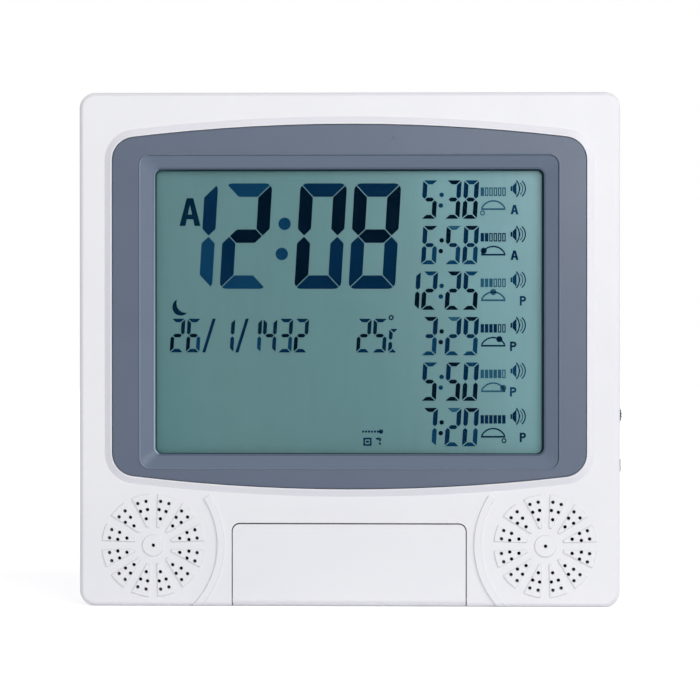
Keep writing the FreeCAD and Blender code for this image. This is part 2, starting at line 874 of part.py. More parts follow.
def speaker_basket(side):
    """The metal frame of a loudspeaker: a flange and a tapering wall."""
    x = side * speaker_x
    front = inner_front_y
    flange_back = front + speaker_flange
    back = front + speaker_depth - magnet_depth
    outer = cone_y(x, speaker_z, cone_rim_radius + basket_wall, basket_back_radius,
                   flange_back, back)
    inner = cone_y(x, speaker_z, cone_rim_radius, basket_back_radius - basket_wall,
                   flange_back, back - basket_wall)
    flange = rod_y(x, speaker_z, speaker_radius, front, flange_back)
    mouth = rod_y(x, speaker_z, cone_rim_radius, front, flange_back)
    return joined([flange, outer]).cut([inner, mouth])


def speaker_magnet(side):
    """The magnet behind a loudspeaker's frame."""
    back = inner_front_y + speaker_depth - magnet_depth
    x = side * speaker_x
    return rod_y(x, speaker_z, magnet_radius, back, back + magnet_depth)


def speaker_cone(side):
    """The paper cone and its dust cap, glued to the frame's flange by its rim."""
    x = side * speaker_x
    front = inner_front_y + speaker_flange
    skin = cone_thickness
    rim = cone_rim_radius - fit_gap
    outer = cone_y(x, speaker_z, rim, cone_cap_radius, front, front + cone_drop)
    inner = cone_y(x, speaker_z, rim - skin, cone_cap_radius - skin, front, front + cone_drop - skin)
    cap = rod_y(x, speaker_z, cone_cap_radius - skin, front + cone_drop - 2 * skin,
                front + cone_drop - skin)
    edge = rod_y(x, speaker_z, rim, front - skin, front)
    edge = edge.cut(rod_y(x, speaker_z, rim - 2 * skin, front - skin, front))
    return joined([outer.cut(inner), cap, edge])


def speaker_clamps():
    """Small washers that hold both loudspeakers' flanges against the casing."""
    clamps = []
    for side in (-1, 1):
        for x, z in speaker_boss_places(side):
            y0 = inner_front_y + speaker_flange
            reach = speaker_boss_radius + washer_overhang
            washer = rod_y(x, z, reach, y0, y0 + washer_thickness)
            clear = rod_y(side * speaker_x, speaker_z, cone_rim_radius + basket_wall + part_gap,
                          y0, y0 + washer_thickness)
            hole = rod_y(x, z, small_screw_radius + fit_gap, y0, y0 + washer_thickness)
            inside = body_block(-wall - fit_gap, y0, y0 + washer_thickness)
            clamps.append(washer.cut([clear, hole]).common(inside))
    return clamps


def volume_wheel():
    """The knurled edge wheel with its shaft into the volume control."""
    wheel = rod_y(wheel_x, wheel_z, wheel_radius, wheel_front_y, wheel_back_y)
    grooves = []
    for index in range(wheel_knurls):
        angle = 2 * math.pi * index / wheel_knurls
        x = wheel_x + wheel_radius * math.cos(angle)
        z = wheel_z + wheel_radius * math.sin(angle)
        grooves.append(rod_y(x, z, wheel_knurl_radius, wheel_front_y, wheel_back_y))
    shaft = rod_y(wheel_x, wheel_z, wheel_shaft_radius, board_back_y + part_gap,
                  wheel_front_y + wheel_thickness / 2)
    well = rod_y(wheel_x, wheel_z, small_screw_head_radius + part_gap,
                 wheel_back_y - small_screw_head_height, wheel_back_y)
    hole = rod_y(wheel_x, wheel_z, small_screw_radius, board_back_y + part_gap, wheel_back_y)
    return joined([wheel.cut(grooves), shaft]).cut([well, hole])


def volume_screw():
    """The screw that holds the wheel on its shaft."""
    seat_y = wheel_back_y - small_screw_head_height
    return small_screw(wheel_x, wheel_z, seat_y, seat_y - wheel_thickness)


def volume_control():
    """The rotary volume control on the board's tab."""
    half = pot_side / 2
    inner = min(wheel_x - half, half_width - wall - part_gap - pot_side)
    case = box(inner, inner + pot_side, board_back_y, board_back_y + pot_height,
               wheel_z - half, wheel_z + half)
    return case.cut(rod_y(wheel_x, wheel_z, wheel_shaft_radius + wheel_shaft_gap,
                          board_back_y, board_back_y + pot_height))


def power_socket():
    """The round power socket whose nose stands just proud of the side."""
    half = socket_body / 2
    inner_wall = half_width - wall
    case = box(inner_wall - part_gap - socket_bore_depth, inner_wall - part_gap,
               socket_y - half, socket_y + half, socket_z - half, socket_z + half)
    nose = rod_x(socket_y, socket_z, socket_nose_radius, inner_wall - socket_bore_depth / 2,
                 half_width + socket_stand_out)
    bore_start = half_width + socket_stand_out - socket_bore_depth
    bore = rod_x(socket_y, socket_z, socket_bore_radius, bore_start,
                 half_width + socket_stand_out)
    pin = rod_x(socket_y, socket_z, socket_pin_radius, bore_start - socket_pin_radius,
                half_width - socket_pin_radius)
    return joined([joined([case, nose]).cut(bore), pin])


def battery_box_block(grow, y0, y1):
    return box(battery_box_x - battery_box_length / 2 - grow,
               battery_box_x + battery_box_length / 2 + grow, y0, y1,
               battery_box_z - battery_box_height / 2 - grow,
               battery_box_z + battery_box_height / 2 + grow)


def battery_cover_block(gap, y0, y1):
    """The battery cover's outline, or the opening that it fills."""
    margin = 2 * (battery_cover_margin + gap)
    return plate(battery_box_x, battery_box_z, battery_box_length + margin,
                 battery_box_height + margin, battery_cover_margin, y0, y1)


def latch_space(gap, y0, y1):
    """The latch tongue at the top of the battery cover, grown by a gap."""
    top = battery_box_z + battery_box_height / 2 + battery_cover_margin
    return box(battery_box_x - latch_width / 2 - gap, battery_box_x + latch_width / 2 + gap,
               y0, y1, top - battery_cover_margin, top + latch_length + gap)


def keyhole(side):
    """A keyhole for a wall screw: a round entry with a slot above it."""
    x = side * keyhole_x
    y0 = inner_back_y - wall
    y1 = back_y + wall
    entry = rod_y(x, keyhole_z, keyhole_entry_radius, y0, y1)
    slot = box(x - keyhole_slot_radius, x + keyhole_slot_radius, y0, y1,
               keyhole_z, keyhole_z + keyhole_rise)
    end = rod_y(x, keyhole_z + keyhole_rise, keyhole_slot_radius, y0, y1)
    return joined([entry, slot, end])


def stand_channel(grow, y0):
    """The channel in the back that the stand folds into."""
    half = stand_width / 2 + stand_channel_gap + grow
    top = stand_hinge_z + stand_hinge_radius + stand_channel_gap + grow
    return box(-half, half, y0, back_y, 0, top)


def stand_pins(gap):
    """The stand's hinge pins, grown by a gap."""
    start = stand_width / 2 - stand_pin_reach
    end = stand_width / 2 + stand_pin_reach + gap
    left = rod_x(stand_axis_y, stand_hinge_z, stand_pin_radius + gap, -end, -start)
    right = rod_x(stand_axis_y, stand_hinge_z, stand_pin_radius + gap, start, end)
    return [left, right]


def rear_shell():
    """The rear casing's shell with its rounded back edge and a locating lip."""
    outer = body_block(0, split_y, back_y)
    outer = outer.makeFillet(back_edge_radius, edges_at_depth(outer, back_y))
    outer = outer.cut(body_block(-wall, split_y, inner_back_y))
    lip = body_block(-wall - fit_gap, split_y - lip_height, split_y + lip_height)
    lip = lip.cut(body_block(-wall - fit_gap - lip_thickness, split_y - lip_height,
                             split_y + lip_height))
    foot = body_block(-wall / 2, split_y + fit_gap, split_y + lip_height)
    foot = foot.cut(body_block(-wall - fit_gap - lip_thickness, split_y + fit_gap,
                               split_y + lip_height))
    return joined([outer, lip, foot])


def lip_clearance():
    """What the locating lip leaves free for the screw bosses."""
    y0 = split_y - lip_height
    spaces = []
    for x, z in case_boss_places():
        spaces.append(rod_y(x, z, case_boss_radius + part_gap, y0, split_y))
    return spaces


def rear_case():
    """The rear casing: shell, screw towers, battery compartment, stand channel and keyholes."""
    solids = [rear_shell()]
    holes = lip_clearance()
    towers = []
    wells = []
    for x, z in case_boss_places():
        towers.append(rod_y(x, z, case_boss_radius + tower_margin, split_y,
                            inner_back_y + wall / 2))
        wells.append(rod_y(x, z, case_screw_well_radius, screw_seat_y, back_y + wall))
        wells.append(rod_y(x, z, case_screw_radius + fit_gap, split_y, back_y))
    solids.extend(towers)
    holes.extend(wells)
    solids.append(battery_box_block(battery_box_wall, battery_floor_y - battery_box_wall,
                                    inner_back_y + wall / 2))
    solids.append(stand_channel(wall, stand_channel_y - wall).common(
        body_block(0, split_y, back_y - wall / 2)))
    holes.append(battery_box_block(0, battery_floor_y, back_y))
    holes.append(battery_cover_block(fit_gap, back_y - battery_cover_wall, back_y + wall))
    holes.append(latch_space(fit_gap, back_y - battery_cover_wall, back_y + wall))
    holes.append(stand_channel(0, stand_channel_y))
    holes.extend(stand_pins(stand_pin_gap))
    for side in (-1, 1):
        holes.append(keyhole(side))
    return joined(solids).cut(holes)


def battery_cover():
    """The battery cover with its latch tongue, flush with the back."""
    y0 = back_y - battery_cover_wall
    panel = battery_cover_block(0, y0, back_y)
    tongue = latch_space(0, y0, back_y)
    grip_z = battery_box_z + battery_box_height / 2 - latch_length
    grips = []
    for index in range(grip_count):
        z = grip_z - index * grip_pitch
        grips.append(box(battery_box_x - latch_width / 2, battery_box_x + latch_width / 2,
                         back_y - grip_depth, back_y, z - grip_width / 2, z + grip_width / 2))
    return joined([panel, tongue]).cut(grips)


def battery_rows():
    rows = []
    for index in range(cell_count):
        rows.append(battery_box_z + (index - (cell_count - 1) / 2) * battery_pitch)
    return rows


def battery_start(index):
    """The x of the spring end's plate face, and the way the cell points."""
    facing = 1 if index % 2 == 0 else -1
    end = battery_box_x - facing * (battery_box_length / 2 - contact_thickness)
    return end, facing


def battery(index):
    """One round cell with its raised end."""
    z = battery_rows()[index]
    end, facing = battery_start(index)
    x0 = end + facing * (battery_spring_length + part_gap)
    x1 = x0 + facing * battery_length
    x2 = x1 + facing * battery_nipple_length
    can = rod_x(battery_y, z, battery_radius, min(x0, x1), max(x0, x1))
    nipple = rod_x(battery_y, z, battery_nipple_radius, min(x1, x2), max(x1, x2))
    return joined([can, nipple])


def battery_contacts():
    """The plates at both ends of every cell."""
    plates = []
    half = contact_side / 2
    for z in battery_rows():
        for end in (-1, 1):
            outer = battery_box_x + end * battery_box_length / 2
            inner = outer - end * contact_thickness
            plates.append(box(min(outer, inner), max(outer, inner), battery_y - half,
                              battery_y + half, z - half, z + half))
    return plates


def battery_springs():
    """The tapering springs at the flat end of every cell, as plain hollow cones."""
    springs = []
    for index in range(cell_count):
        z = battery_rows()[index]
        end, facing = battery_start(index)
        origin = vec(end, battery_y, z)
        narrow = battery_spring_narrow_radius
        outer = Part.makeCone(battery_spring_radius, narrow, battery_spring_length, origin,
                              vec(facing, 0, 0))
        inner = Part.makeCone(battery_spring_radius - 2 * battery_spring_wire,
                              narrow - 2 * battery_spring_wire, battery_spring_length, origin,
                              vec(facing, 0, 0))
        springs.append(outer.cut(inner))
    return springs


def stand():
    """The folding stand: a plate with a sunk middle, rounded about its hinge at the top."""
    half = stand_width / 2
    outer_y = back_y - part_gap
    inner_y = outer_y - stand_thickness
    centre_z = stand_hinge_z - stand_length / 2
    leg = plate(0, centre_z, stand_width, stand_length, stand_corner_radius, inner_y, outer_y)
    top = box(-half, half, inner_y, outer_y, centre_z, stand_hinge_z)
    barrel = rod_x(stand_axis_y, stand_hinge_z, stand_hinge_radius - part_gap, -half, half)
    sunk = plate(0, centre_z, stand_panel_width, stand_panel_height, stand_corner_radius,
                 outer_y - stand_panel_depth, back_y)
    return joined([leg, top, barrel] + stand_pins(0)).cut(sunk)


def case_screws():
    """The six screws that join the casings."""
    screws = []
    for x, z in case_boss_places():
        screws.append(screw(x, z, screw_seat_y, screw_seat_y - case_screw_length,
                            case_screw_head_radius, case_screw_head_height, case_screw_radius))
    return screws


def board_screws():
    end_y = board_back_y - small_screw_length
    return [small_screw(x, z, board_back_y, end_y) for x, z in board_boss_places()]


def control_board_screws():
    end_y = key_board_back_y - small_screw_length
    return [small_screw(x, z, key_board_back_y, end_y) for x, z in key_boss_places()]


def speaker_screws():
    """Short screws through the speaker washers."""
    seat_y = inner_front_y + speaker_flange + washer_thickness
    end_y = front_y + wall / 2 + boss_floor
    screws = []
    for side in (-1, 1):
        for x, z in speaker_boss_places(side):
            screws.append(small_screw(x, z, seat_y, end_y))
    return screws


def chip_cover():
    """The hard drop of resin over the clock chip."""
    return cone_y(chip_cover_x, chip_cover_z, chip_cover_radius, chip_cover_top_radius,
                  board_back_y, board_back_y + chip_cover_height)


def audio_chip():
    """The flat chip that drives the loudspeakers."""
    return box(audio_chip_x, audio_chip_x + audio_chip_length,
               board_back_y, board_back_y + audio_chip_height,
               audio_chip_z, audio_chip_z + audio_chip_width)


def quartz_crystal():
    """The small can that keeps the time, lying on the board."""
    start = vec(crystal_x, board_back_y + crystal_radius, crystal_z)
    return Part.makeCylinder(crystal_radius, crystal_length, start, vec(0, 0, 1))


def temperature_sensor():
    """The bead that senses the room's temperature."""
    return rod_y(sensor_x, sensor_z, sensor_radius, board_back_y, board_back_y + sensor_height)


def ribbon_cable():
    """The flat cable from the control board up to the main board, one bent strip."""
    foot_z = key_board_centre_z + key_board_height / 4
    head_z = board_bottom_z + 3 * ribbon_bend
    free_y = key_board_back_y + ribbon_bend
    start = vec(-ribbon_width / 2, 0, 0)
    inner = [
        start + vec(0, key_board_back_y, foot_z),
        start + vec(0, free_y, foot_z + ribbon_bend),
        start + vec(0, free_y, head_z - ribbon_bend),
        start + vec(0, board_back_y, head_z),
    ]
    outer = [point + vec(0, ribbon_thickness, 0) for point in inner]
    wire = Part.makePolygon(inner + outer[::-1] + inner[:1])
    return Part.Face(wire).extrude(vec(ribbon_width, 0, 0))


def tube(points, radius, bend):
    """A round wire along straight runs joined by tangent arcs."""
    edges = []
    start = points[0]
    for previous, corner, following in zip(points, points[1:], points[2:]):
        into = (corner - previous).normalize()
        out = (following - corner).normalize()
        turn = into.getAngle(out)
        setback = bend * math.tan(turn / 2)
        arc_start = corner - into * setback
        arc_end = corner + out * setback
        inward = (out - into).normalize()
        middle = corner + inward * (bend / math.cos(turn / 2) - bend)
        edges.append(line_edge(start, arc_start))
        edges.append(arc_edge(arc_start, middle, arc_end))
        start = arc_end
    edges.append(line_edge(start, points[-1]))
    path = Part.Wire(edges)
    direction = points[1] - points[0]
    circle = Part.Wire([Part.Circle(points[0], direction, radius).toShape()])
    return path.makePipeShell([circle], True, False)


def speaker_lead(side):
    """The twin wire, as one, from a loudspeaker's frame to the main board."""
    x0 = side * (speaker_x - magnet_radius - part_gap - lead_radius)
    x1 = side * (speaker_x - speaker_radius - 3 * lead_bend)
    y = inner_front_y + speaker_depth - magnet_depth
    free_y = y + 2 * lead_bend
    z1 = board_bottom_z + lead_bend
    points = [
        vec(x0, y, speaker_z),
        vec(x0, free_y, speaker_z),
        vec(x1, free_y, speaker_z + speaker_radius),
        vec(x1, free_y, z1),
        vec(x1, board_back_y, z1),
    ]
    return tube(points, lead_radius, lead_bend * 0.8)


def build():
    os.makedirs("parts", exist_ok=True)
    save("front_case", front_case())
    save("rear_case", rear_case())
    save("key_tray", key_tray())
    save("display_bezel", display_bezel())
    save("display_pane", display_pane())
    save("display_cell", display_cell())
    save("display_holder", display_holder())
    save_group("display_connector_strips", strip_slots(0))
    save("main_board", main_board())
    save("clock_chip_cover", chip_cover())
    save("audio_chip", audio_chip())
    save("quartz_crystal", quartz_crystal())
    save("temperature_sensor", temperature_sensor())
    save("control_board", control_board())
    save("rubber_keypad", keypad())
    for number, (x, z) in enumerate(key_places(), start=1):
        save("key_" + str(number), key(x, z))
    save("control_flap", flap())
    for side, name in ((-1, "left"), (1, "right")):
        save(name + "_speaker_basket", speaker_basket(side))
        save(name + "_speaker_cone", speaker_cone(side))
        save(name + "_speaker_magnet", speaker_magnet(side))
        save(name + "_speaker_lead", speaker_lead(side))
    save_group("speaker_washers", speaker_clamps())
    save("volume_wheel", volume_wheel())
    save("volume_wheel_screw", volume_screw())
    save("volume_control", volume_control())
    save("power_socket", power_socket())
    save("battery_cover", battery_cover())
    for index in range(cell_count):
        save("battery_" + str(index + 1), battery(index))
    save_group("battery_contacts", battery_contacts())
    save_group("battery_springs", battery_springs())
    save("folding_stand", stand())
    save_group("case_screws", case_screws())
    save_group("main_board_screws", board_screws())
    save_group("control_board_screws", control_board_screws())
    save_group("speaker_screws", speaker_screws())
    save("control_ribbon", ribbon_cable())


build()
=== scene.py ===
import json
import math

import bpy
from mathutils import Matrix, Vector


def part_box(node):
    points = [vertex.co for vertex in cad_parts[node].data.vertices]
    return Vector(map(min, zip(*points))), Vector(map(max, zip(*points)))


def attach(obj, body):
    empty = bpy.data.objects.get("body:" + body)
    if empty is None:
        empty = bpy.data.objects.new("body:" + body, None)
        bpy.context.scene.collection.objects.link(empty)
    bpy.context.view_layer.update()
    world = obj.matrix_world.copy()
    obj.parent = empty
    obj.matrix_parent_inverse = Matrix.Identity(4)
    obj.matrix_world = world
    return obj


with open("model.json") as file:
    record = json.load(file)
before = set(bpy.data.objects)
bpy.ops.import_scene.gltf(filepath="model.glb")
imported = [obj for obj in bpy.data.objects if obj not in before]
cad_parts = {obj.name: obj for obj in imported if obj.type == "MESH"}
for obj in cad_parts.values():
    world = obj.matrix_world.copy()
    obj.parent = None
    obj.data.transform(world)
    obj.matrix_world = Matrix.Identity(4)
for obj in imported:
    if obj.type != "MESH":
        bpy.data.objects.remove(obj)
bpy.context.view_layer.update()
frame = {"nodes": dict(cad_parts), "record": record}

# Azan clock, dressed for its photograph. Blender metres in the CAD frame: +X right, +Y back, +Z up.
# Places on the display are in millimetres, u to the right and v upwards from the window's middle.

MM = 0.001
WHITE = (1.0, 1.0, 1.0, 1.0)

# Camera, fitted to the edges of the casing, bezel, window, flap and grilles in the photograph
CAMERA_PLACE = (0.1009, -2.2, 0.1471)
CAMERA_YAW = 0.0460
CAMERA_PITCH = 0.0163
CAMERA_REACH = 50.0
FOCAL_PIXELS = 5033.0
IMAGE_PIXELS = 700.0
SENSOR_WIDTH = 36.0

# Lamps, world and floor
LAMP_AIM = (0.0, 0.0, 0.11)
WARM_LIGHT = (1.0, 0.995, 0.985)
PLAIN_LIGHT = (1.0, 1.0, 1.0)
KEY_PLACE = (1.45, -1.4, 1.1)
KEY_SIZE = 1.0
KEY_POWER = 15.0
FRONT_PLACE = (0.45, -2.2, 0.45)
FRONT_SIZE = 0.5
FRONT_POWER = 14.5
BACK_PLACE = (-1.2, 2.0, 1.3)
BACK_SIZE = 1.2
BACK_POWER = 14.0
WORLD_LEVEL = 0.42
WORLD_TINT = (0.985, 0.99, 1.0, 1.0)
FLOOR_COLOUR = (244, 244, 245)
FLOOR_HALF = 4.0
FLOOR_DROP = 0.0001
FLOOR_GLOW_NEAR = 0.48
FLOOR_GLOW_FAR = 0.68
FLOOR_GLOW_START = 0.4
FLOOR_GLOW_END = 1.6

# Inks on the display
INK_LIFT = 0.01
INK_THICKNESS = 0.05
SLANT = 0.06
ARC_STEPS = 10
CIRCLE_STEPS = 40
DOT_STEPS = 24
SMALL_DOT_STEPS = 20
CLAPPER_STEPS = 16

# Sizes of digits: stroke is the width of the upright fields and level that of the level ones
TIME_STYLE = {"width": 20.3, "height": 45.9, "stroke": 5.75, "level": 5.85, "gap": 0.4, "radius": 3.0}
ROW_STYLE = {"width": 6.5, "height": 16.7, "stroke": 1.95, "level": 1.75, "gap": 0.46, "radius": 0.9}
DATE_STYLE = {"width": 6.0, "height": 14.7, "stroke": 1.62, "level": 1.55, "gap": 0.46, "radius": 0.9}
DEGREE_STYLE = dict(DATE_STYLE, width=4.0, height=10.3)
WEEKDAY_STYLE = {"width": 2.8, "height": 3.5, "stroke": 0.95, "level": 0.9, "gap": 0.12, "radius": 0.3}

# The lit segments of each figure, named as usual from a at the top, clockwise, to g in the middle
SEGMENTS = {"0": "abcdef", "1": "bc", "2": "abdeg", "3": "abcdg", "4": "bcfg",
            "5": "acdfg", "6": "acdefg", "7": "abc", "c": "adef", "8": "abcdefg", "9": "abcdfg"}

# The time: each figure, its left side and the ink of each segment, from deep, dark, navy and mid
# to pale
TIME_TOP = 55.8
TIME_DIGITS = (
    ("1", -80.3, {"b": "navy", "c": "mid"}),
    ("2", -56.7, {"a": "mid", "b": "deep", "g": "deep", "e": "navy", "d": "mid"}),
    ("0", -24.1, {"a": "navy", "b": "deep", "c": "navy", "d": "navy", "e": "deep", "f": "deep"}),
    ("8", -0.52, {"a": "navy", "b": "deep", "c": "navy", "d": "navy", "e": "navy", "f": "deep",
                  "g": "deep"}),
)
COLON_DOTS = ((-28.3, 38.2), (-29.55, 25.1))
COLON_RADIUS = 2.7
# Left side, bottom, width, height and stroke
TIME_LETTER = (-74.2, 37.3, 9.2, 12.1, 2.6)
# Each circle is its middle and radius
MOON_OUTER = (-73.6, 1.95, 3.72)
MOON_INNER = (-71.4, 3.6, 4.14)
MOON_UPPER_TIP = (-75.3, 4.98)
MOON_LOWER_TIP = (-70.6, -0.46)

# The six rows on the right; what stands in a row is placed down from the row's top
ROW_TOP = 57.08
ROW_PITCH = 19.79
ROW_PLACES = (23.6, 31.07, 41.3, 48.9)
ROW_TIMES = (" 538", " 658", "1225", " 329", " 550", " 720")
ROW_COLON = ((40.07, 6.3), (39.7, 10.95))
ROW_COLON_RADIUS = 1.0
GAUGE_LEFT = 57.0
GAUGE_DROP = 6.8
GAUGE_PITCH = 1.88
GAUGE_WIDTH = 1.5
GAUGE_HEIGHT = 3.7
GAUGE_LINE = 0.48
SUN_LEFT = 57.2
SUN_DROP = 12.9
SUN_REACH = 5.3
SUN_SINK = 1.6
SUN_PATH_RADIUS = 5.55
SUN_PATH_LINE = 0.65
SUN_PATH_ENDS = (26, 154)
SUN_TRAVEL = (150, 30)
SUN_RADIUS = 1.35
HORIZON_LINE = 0.75
NIGHT_SUN_DROP = 1.3
NIGHT_SUN_RADIUS = 0.85
NIGHT_SUN_LINE = 0.5
NIGHT_ROWS = (0, 5)
DAY_SHARES = (0.02, 0.1, 0.5, 0.74, 0.93, 0.98)
SPEAKER_LEFT = 70.0
SPEAKER_DROP = 3.65
# Radius, width and half angle of each arc, from the inside out
SPEAKER_ARCS = ((2.15, 0.32, 52), (3.3, 0.42, 50), (4.45, 0.52, 49))
LETTER_DROP = 14.8
LETTER_HEIGHT = 4.1
LETTER_STROKES = {"A": 1.05, "P": 0.85}
# Each row's letter for the half of the day, its left side and its width
ROW_LETTERS = (("A", 70.0, 3.45), ("A", 70.0, 3.45), ("P", 74.06, 2.7),
               ("P", 69.8, 2.8), ("P", 69.8, 2.8), ("P", 74.06, 2.7))

# The date, the temperature and the weekday
DATE_TOP = -3.1
DATE_PLACES = (("2", -78.5), ("6", -71.5), ("1", -56.7), ("1", -44.9), ("4", -38.3),
               ("3", -31.4), ("2", -24.5), ("2", 2.8), ("5", 9.7))
SLASH_PLACES = (-64.3, -49.85)
SLASH_LEAN = 4.55
SLASH_WIDTH = 1.4
# Middle, radius and width of line
DEGREE_RING = (18.1, -2.6, 0.85, 0.62)
DEGREE_LETTER_PLACE = (16.7, -17.8)
WEEKDAY_LEFT = 5.9
WEEKDAY_LEVEL = -52.2
WEEKDAY_PITCH = 1.3
WEEKDAY_DOT = 0.5
WEEKDAY_MARKED_DOT = 0.95
WEEKDAYS = 7
CALENDAR_LEAF = (6.0, -58.4, 9.6, -54.9)
CALENDAR_LINE = 0.72
CALENDAR_MARK = (7.1, -57.0, 8.5, -56.2)
WEEKDAY_FIGURE_PLACE = (10.8, -58.4)

# Colours of the display on its way from the lower left to the upper right, brighter as a painted sheen
DISPLAY_SIDES = (-0.085, 0.085)
DISPLAY_ENDS = (0.066, 0.190)
DISPLAY_ACROSS_SHARE = 0.8
DISPLAY_UP_SHARE = 0.2
DISPLAY_SHEEN_COLOURS = (
    (0.0, (92, 134, 137)),
    (0.2, (99, 137, 140)),
    (0.34, (98, 137, 140)),
    (0.5, (100, 140, 143)),
    (0.68, (111, 150, 154)),
    (0.78, (120, 163, 168)),
    (0.88, (127, 168, 174)),
    (1.0, (142, 180, 186)),
)

# Window edge: a rounded lip and bead on the bezel, with painted light and shade, and a dark seal on the
# pane round the display, which is a dark gap there and a painted shadow of the bezel.
# A profile goes once round its section as (inset from the outline, place along Y) pairs.
WINDOW_WIDTH = 169.5
WINDOW_HEIGHT = 124.0
WINDOW_RADIUS = 3.0
LIP_PROFILE = ((-0.6, -15.3), (-0.48, -15.5), (-0.25, -15.6), (0.0, -15.52), (0.16, -15.32),
               (0.22, -15.0), (0.1, -14.7), (-0.4, -14.9))
# The lip's painted highlight grows to the left from the first place to the second, and fades from the
# bottom up to the top
LIP_HIGHLIGHT_FROM = -0.0826
LIP_HIGHLIGHT_TO = -0.0838
LIP_TOP = 0.188
LIP_BOTTOM = 0.068
RECESS_WIDTH = 182.6
RECESS_HEIGHT = 136.7
RECESS_RADIUS = 4.6
BEAD_PROFILE = ((-0.3, -18.05), (-0.22, -18.2), (-0.05, -18.26), (0.25, -18.16), (0.62, -17.86),
                (0.6, -17.7), (0.0, -17.9))
# The way the bead faces where its painted light is fullest
BEAD_LIGHT_WAY = (0.9, 0.0, 0.3)
# Left, right, top and bottom; widest at the right and top, as a painted shadow of the bezel
SEAL_SHADOW_INSETS = (0.8, 1.1, 0.9, 0.45)
SEAL_FRONT = -14.5
SEAL_BACK = -13.92
# Painted light and shade along the seal: paler to the left of the first place, darker to the right of the
# second
SEAL_LIT_AT = -0.084
SEAL_SHADED_AT = -0.07

# Battery sleeves change colour here
JACKET_BAND = (-0.0361, -0.0359)

# Key symbols, round each key's middle
RAY_COUNT = 8
RAY_START = 1.05
RAY_END = 1.6
RAY_HALF = 0.15
KEY_MOON_SCALE = 0.4
KEY_MOON_MIDDLE = (-73.9, 1.6)

# Sockets of a Mix node that mixes colours
MIX_FACTOR = 0
MIX_COLOURS = (6, 7)
MIX_RESULT = 2

# How far the softened normal and the flat one agree on flat faces and on rounded-over edges
FLAT_AGREEMENT = 0.995
EDGE_AGREEMENT = 0.8


def linear(colour):
    """A colour as it looks on screen, three numbers from 0 to 255, as Blender's linear values."""
    values = []
    for part in colour:
        level = part / 255.0
        if level <= 0.04045:
            values.append(level / 12.92)
        else:
            values.append(((level + 0.055) / 1.055) ** 2.4)
    return tuple(values) + (1.0,)


# What the materials are made from

def new_material(name):
    material = bpy.data.materials.new(name)
    material.use_nodes = True
    nodes = material.node_tree.nodes
    links = material.node_tree.links
    return material, nodes, links, nodes["Principled BSDF"]


def noise(nodes, links, scale, detail=4.0, roughness=0.55, stretch=(1.0, 1.0, 1.0)):
    """A noise value between 0 and 1 over the piece, its size set in waves per metre."""
    coords = nodes.new("ShaderNodeTexCoord")
    mapping = nodes.new("ShaderNodeMapping")
    mapping.inputs["Scale"].default_value = stretch
    texture = nodes.new("ShaderNodeTexNoise")
    texture.inputs["Scale"].default_value = scale
    texture.inputs["Detail"].default_value = detail
    texture.inputs["Roughness"].default_value = roughness
    links.new(coords.outputs["Object"], mapping.inputs["Vector"])
    links.new(mapping.outputs["Vector"], texture.inputs["Vector"])
    return texture.outputs["Fac"]


def place_along(nodes, links, axis, kind="Object"):
    """The X, Y or Z part of the place on the piece, or of its normal."""
    coords = nodes.new("ShaderNodeTexCoord")
    split = nodes.new("ShaderNodeSeparateXYZ")
    links.new(coords.outputs[kind], split.inputs["Vector"])
    return split.outputs[axis]


def remap(nodes, links, value, low, high, out_low, out_high):
    node = nodes.new("ShaderNodeMapRange")
    node.inputs["From Min"].default_value = low
    node.inputs["From Max"].default_value = high
    node.inputs["To Min"].default_value = out_low
    node.inputs["To Max"].default_value = out_high
    links.new(value, node.inputs["Value"])
    return node.outputs["Result"]


def calculated(nodes, links, operation, first, second):
    """Two value sockets added, multiplied or the like."""
    node = nodes.new("ShaderNodeMath")
    node.operation = operation
    links.new(first, node.inputs[0])
    links.new(second, node.inputs[1])
    return node.outputs["Value"]


def ramp(nodes, links, value, stops):
    """Colours along a value; each stop is (place, colour on screen)."""
    node = nodes.new("ShaderNodeValToRGB")
    elements = node.color_ramp.elements
    elements[0].position = stops[0][0]
    elements[0].color = linear(stops[0][1])
    elements[1].position = stops[-1][0]
    elements[1].color = linear(stops[-1][1])
    for place, colour in stops[1:-1]:
        element = elements.new(place)
        element.color = linear(colour)
    links.new(value, node.inputs["Fac"])
    return node.outputs["Color"]


def mixed(nodes, links, factor, first, second):
    """Two colours, each as on screen or a socket, mixed by a factor socket."""
    node = nodes.new("ShaderNodeMix")
    node.data_type = "RGBA"
    links.new(factor, node.inputs[MIX_FACTOR])
    for index, colour in zip(MIX_COLOURS, (first, second)):
        if isinstance(colour, tuple):
            node.inputs[index].default_value = linear(colour)
        else:
            links.new(colour, node.inputs[index])
    return node.outputs[MIX_RESULT]


def coloured(links, shader, colour):
    links.new(colour, shader.inputs["Base Color"])


def roughened(nodes, links, shader, value, smoothest, roughest, low=0.3, high=0.7):
    """Roughness that rises with a value."""
    links.new(remap(nodes, links, value, low, high, smoothest, roughest), shader.inputs["Roughness"])


def grained(nodes, links, shader, height, strength, distance, normal=None):
    bump = nodes.new("ShaderNodeBump")
    bump.inputs["Strength"].default_value = strength
    bump.inputs["Distance"].default_value = distance
    links.new(height, bump.inputs["Height"])
    if normal is not None:
        links.new(normal, bump.inputs["Normal"])
    links.new(bump.outputs["Normal"], shader.inputs["Normal"])


def edge_mask(nodes, links, radius):
    """1 on rounded-over edges and 0 on flat faces, with the softened normal."""
    bevel = nodes.new("ShaderNodeBevel")
    bevel.samples = 4
    bevel.inputs["Radius"].default_value = radius
    geometry = nodes.new("ShaderNodeNewGeometry")
    agreement = nodes.new("ShaderNodeVectorMath")
    agreement.operation = "DOT_PRODUCT"
    links.new(bevel.outputs["Normal"], agreement.inputs[0])
    links.new(geometry.outputs["True Normal"], agreement.inputs[1])
    mask = remap(nodes, links, agreement.outputs["Value"], FLAT_AGREEMENT, EDGE_AGREEMENT, 0.0, 1.0)
    return mask, bevel.outputs["Normal"]


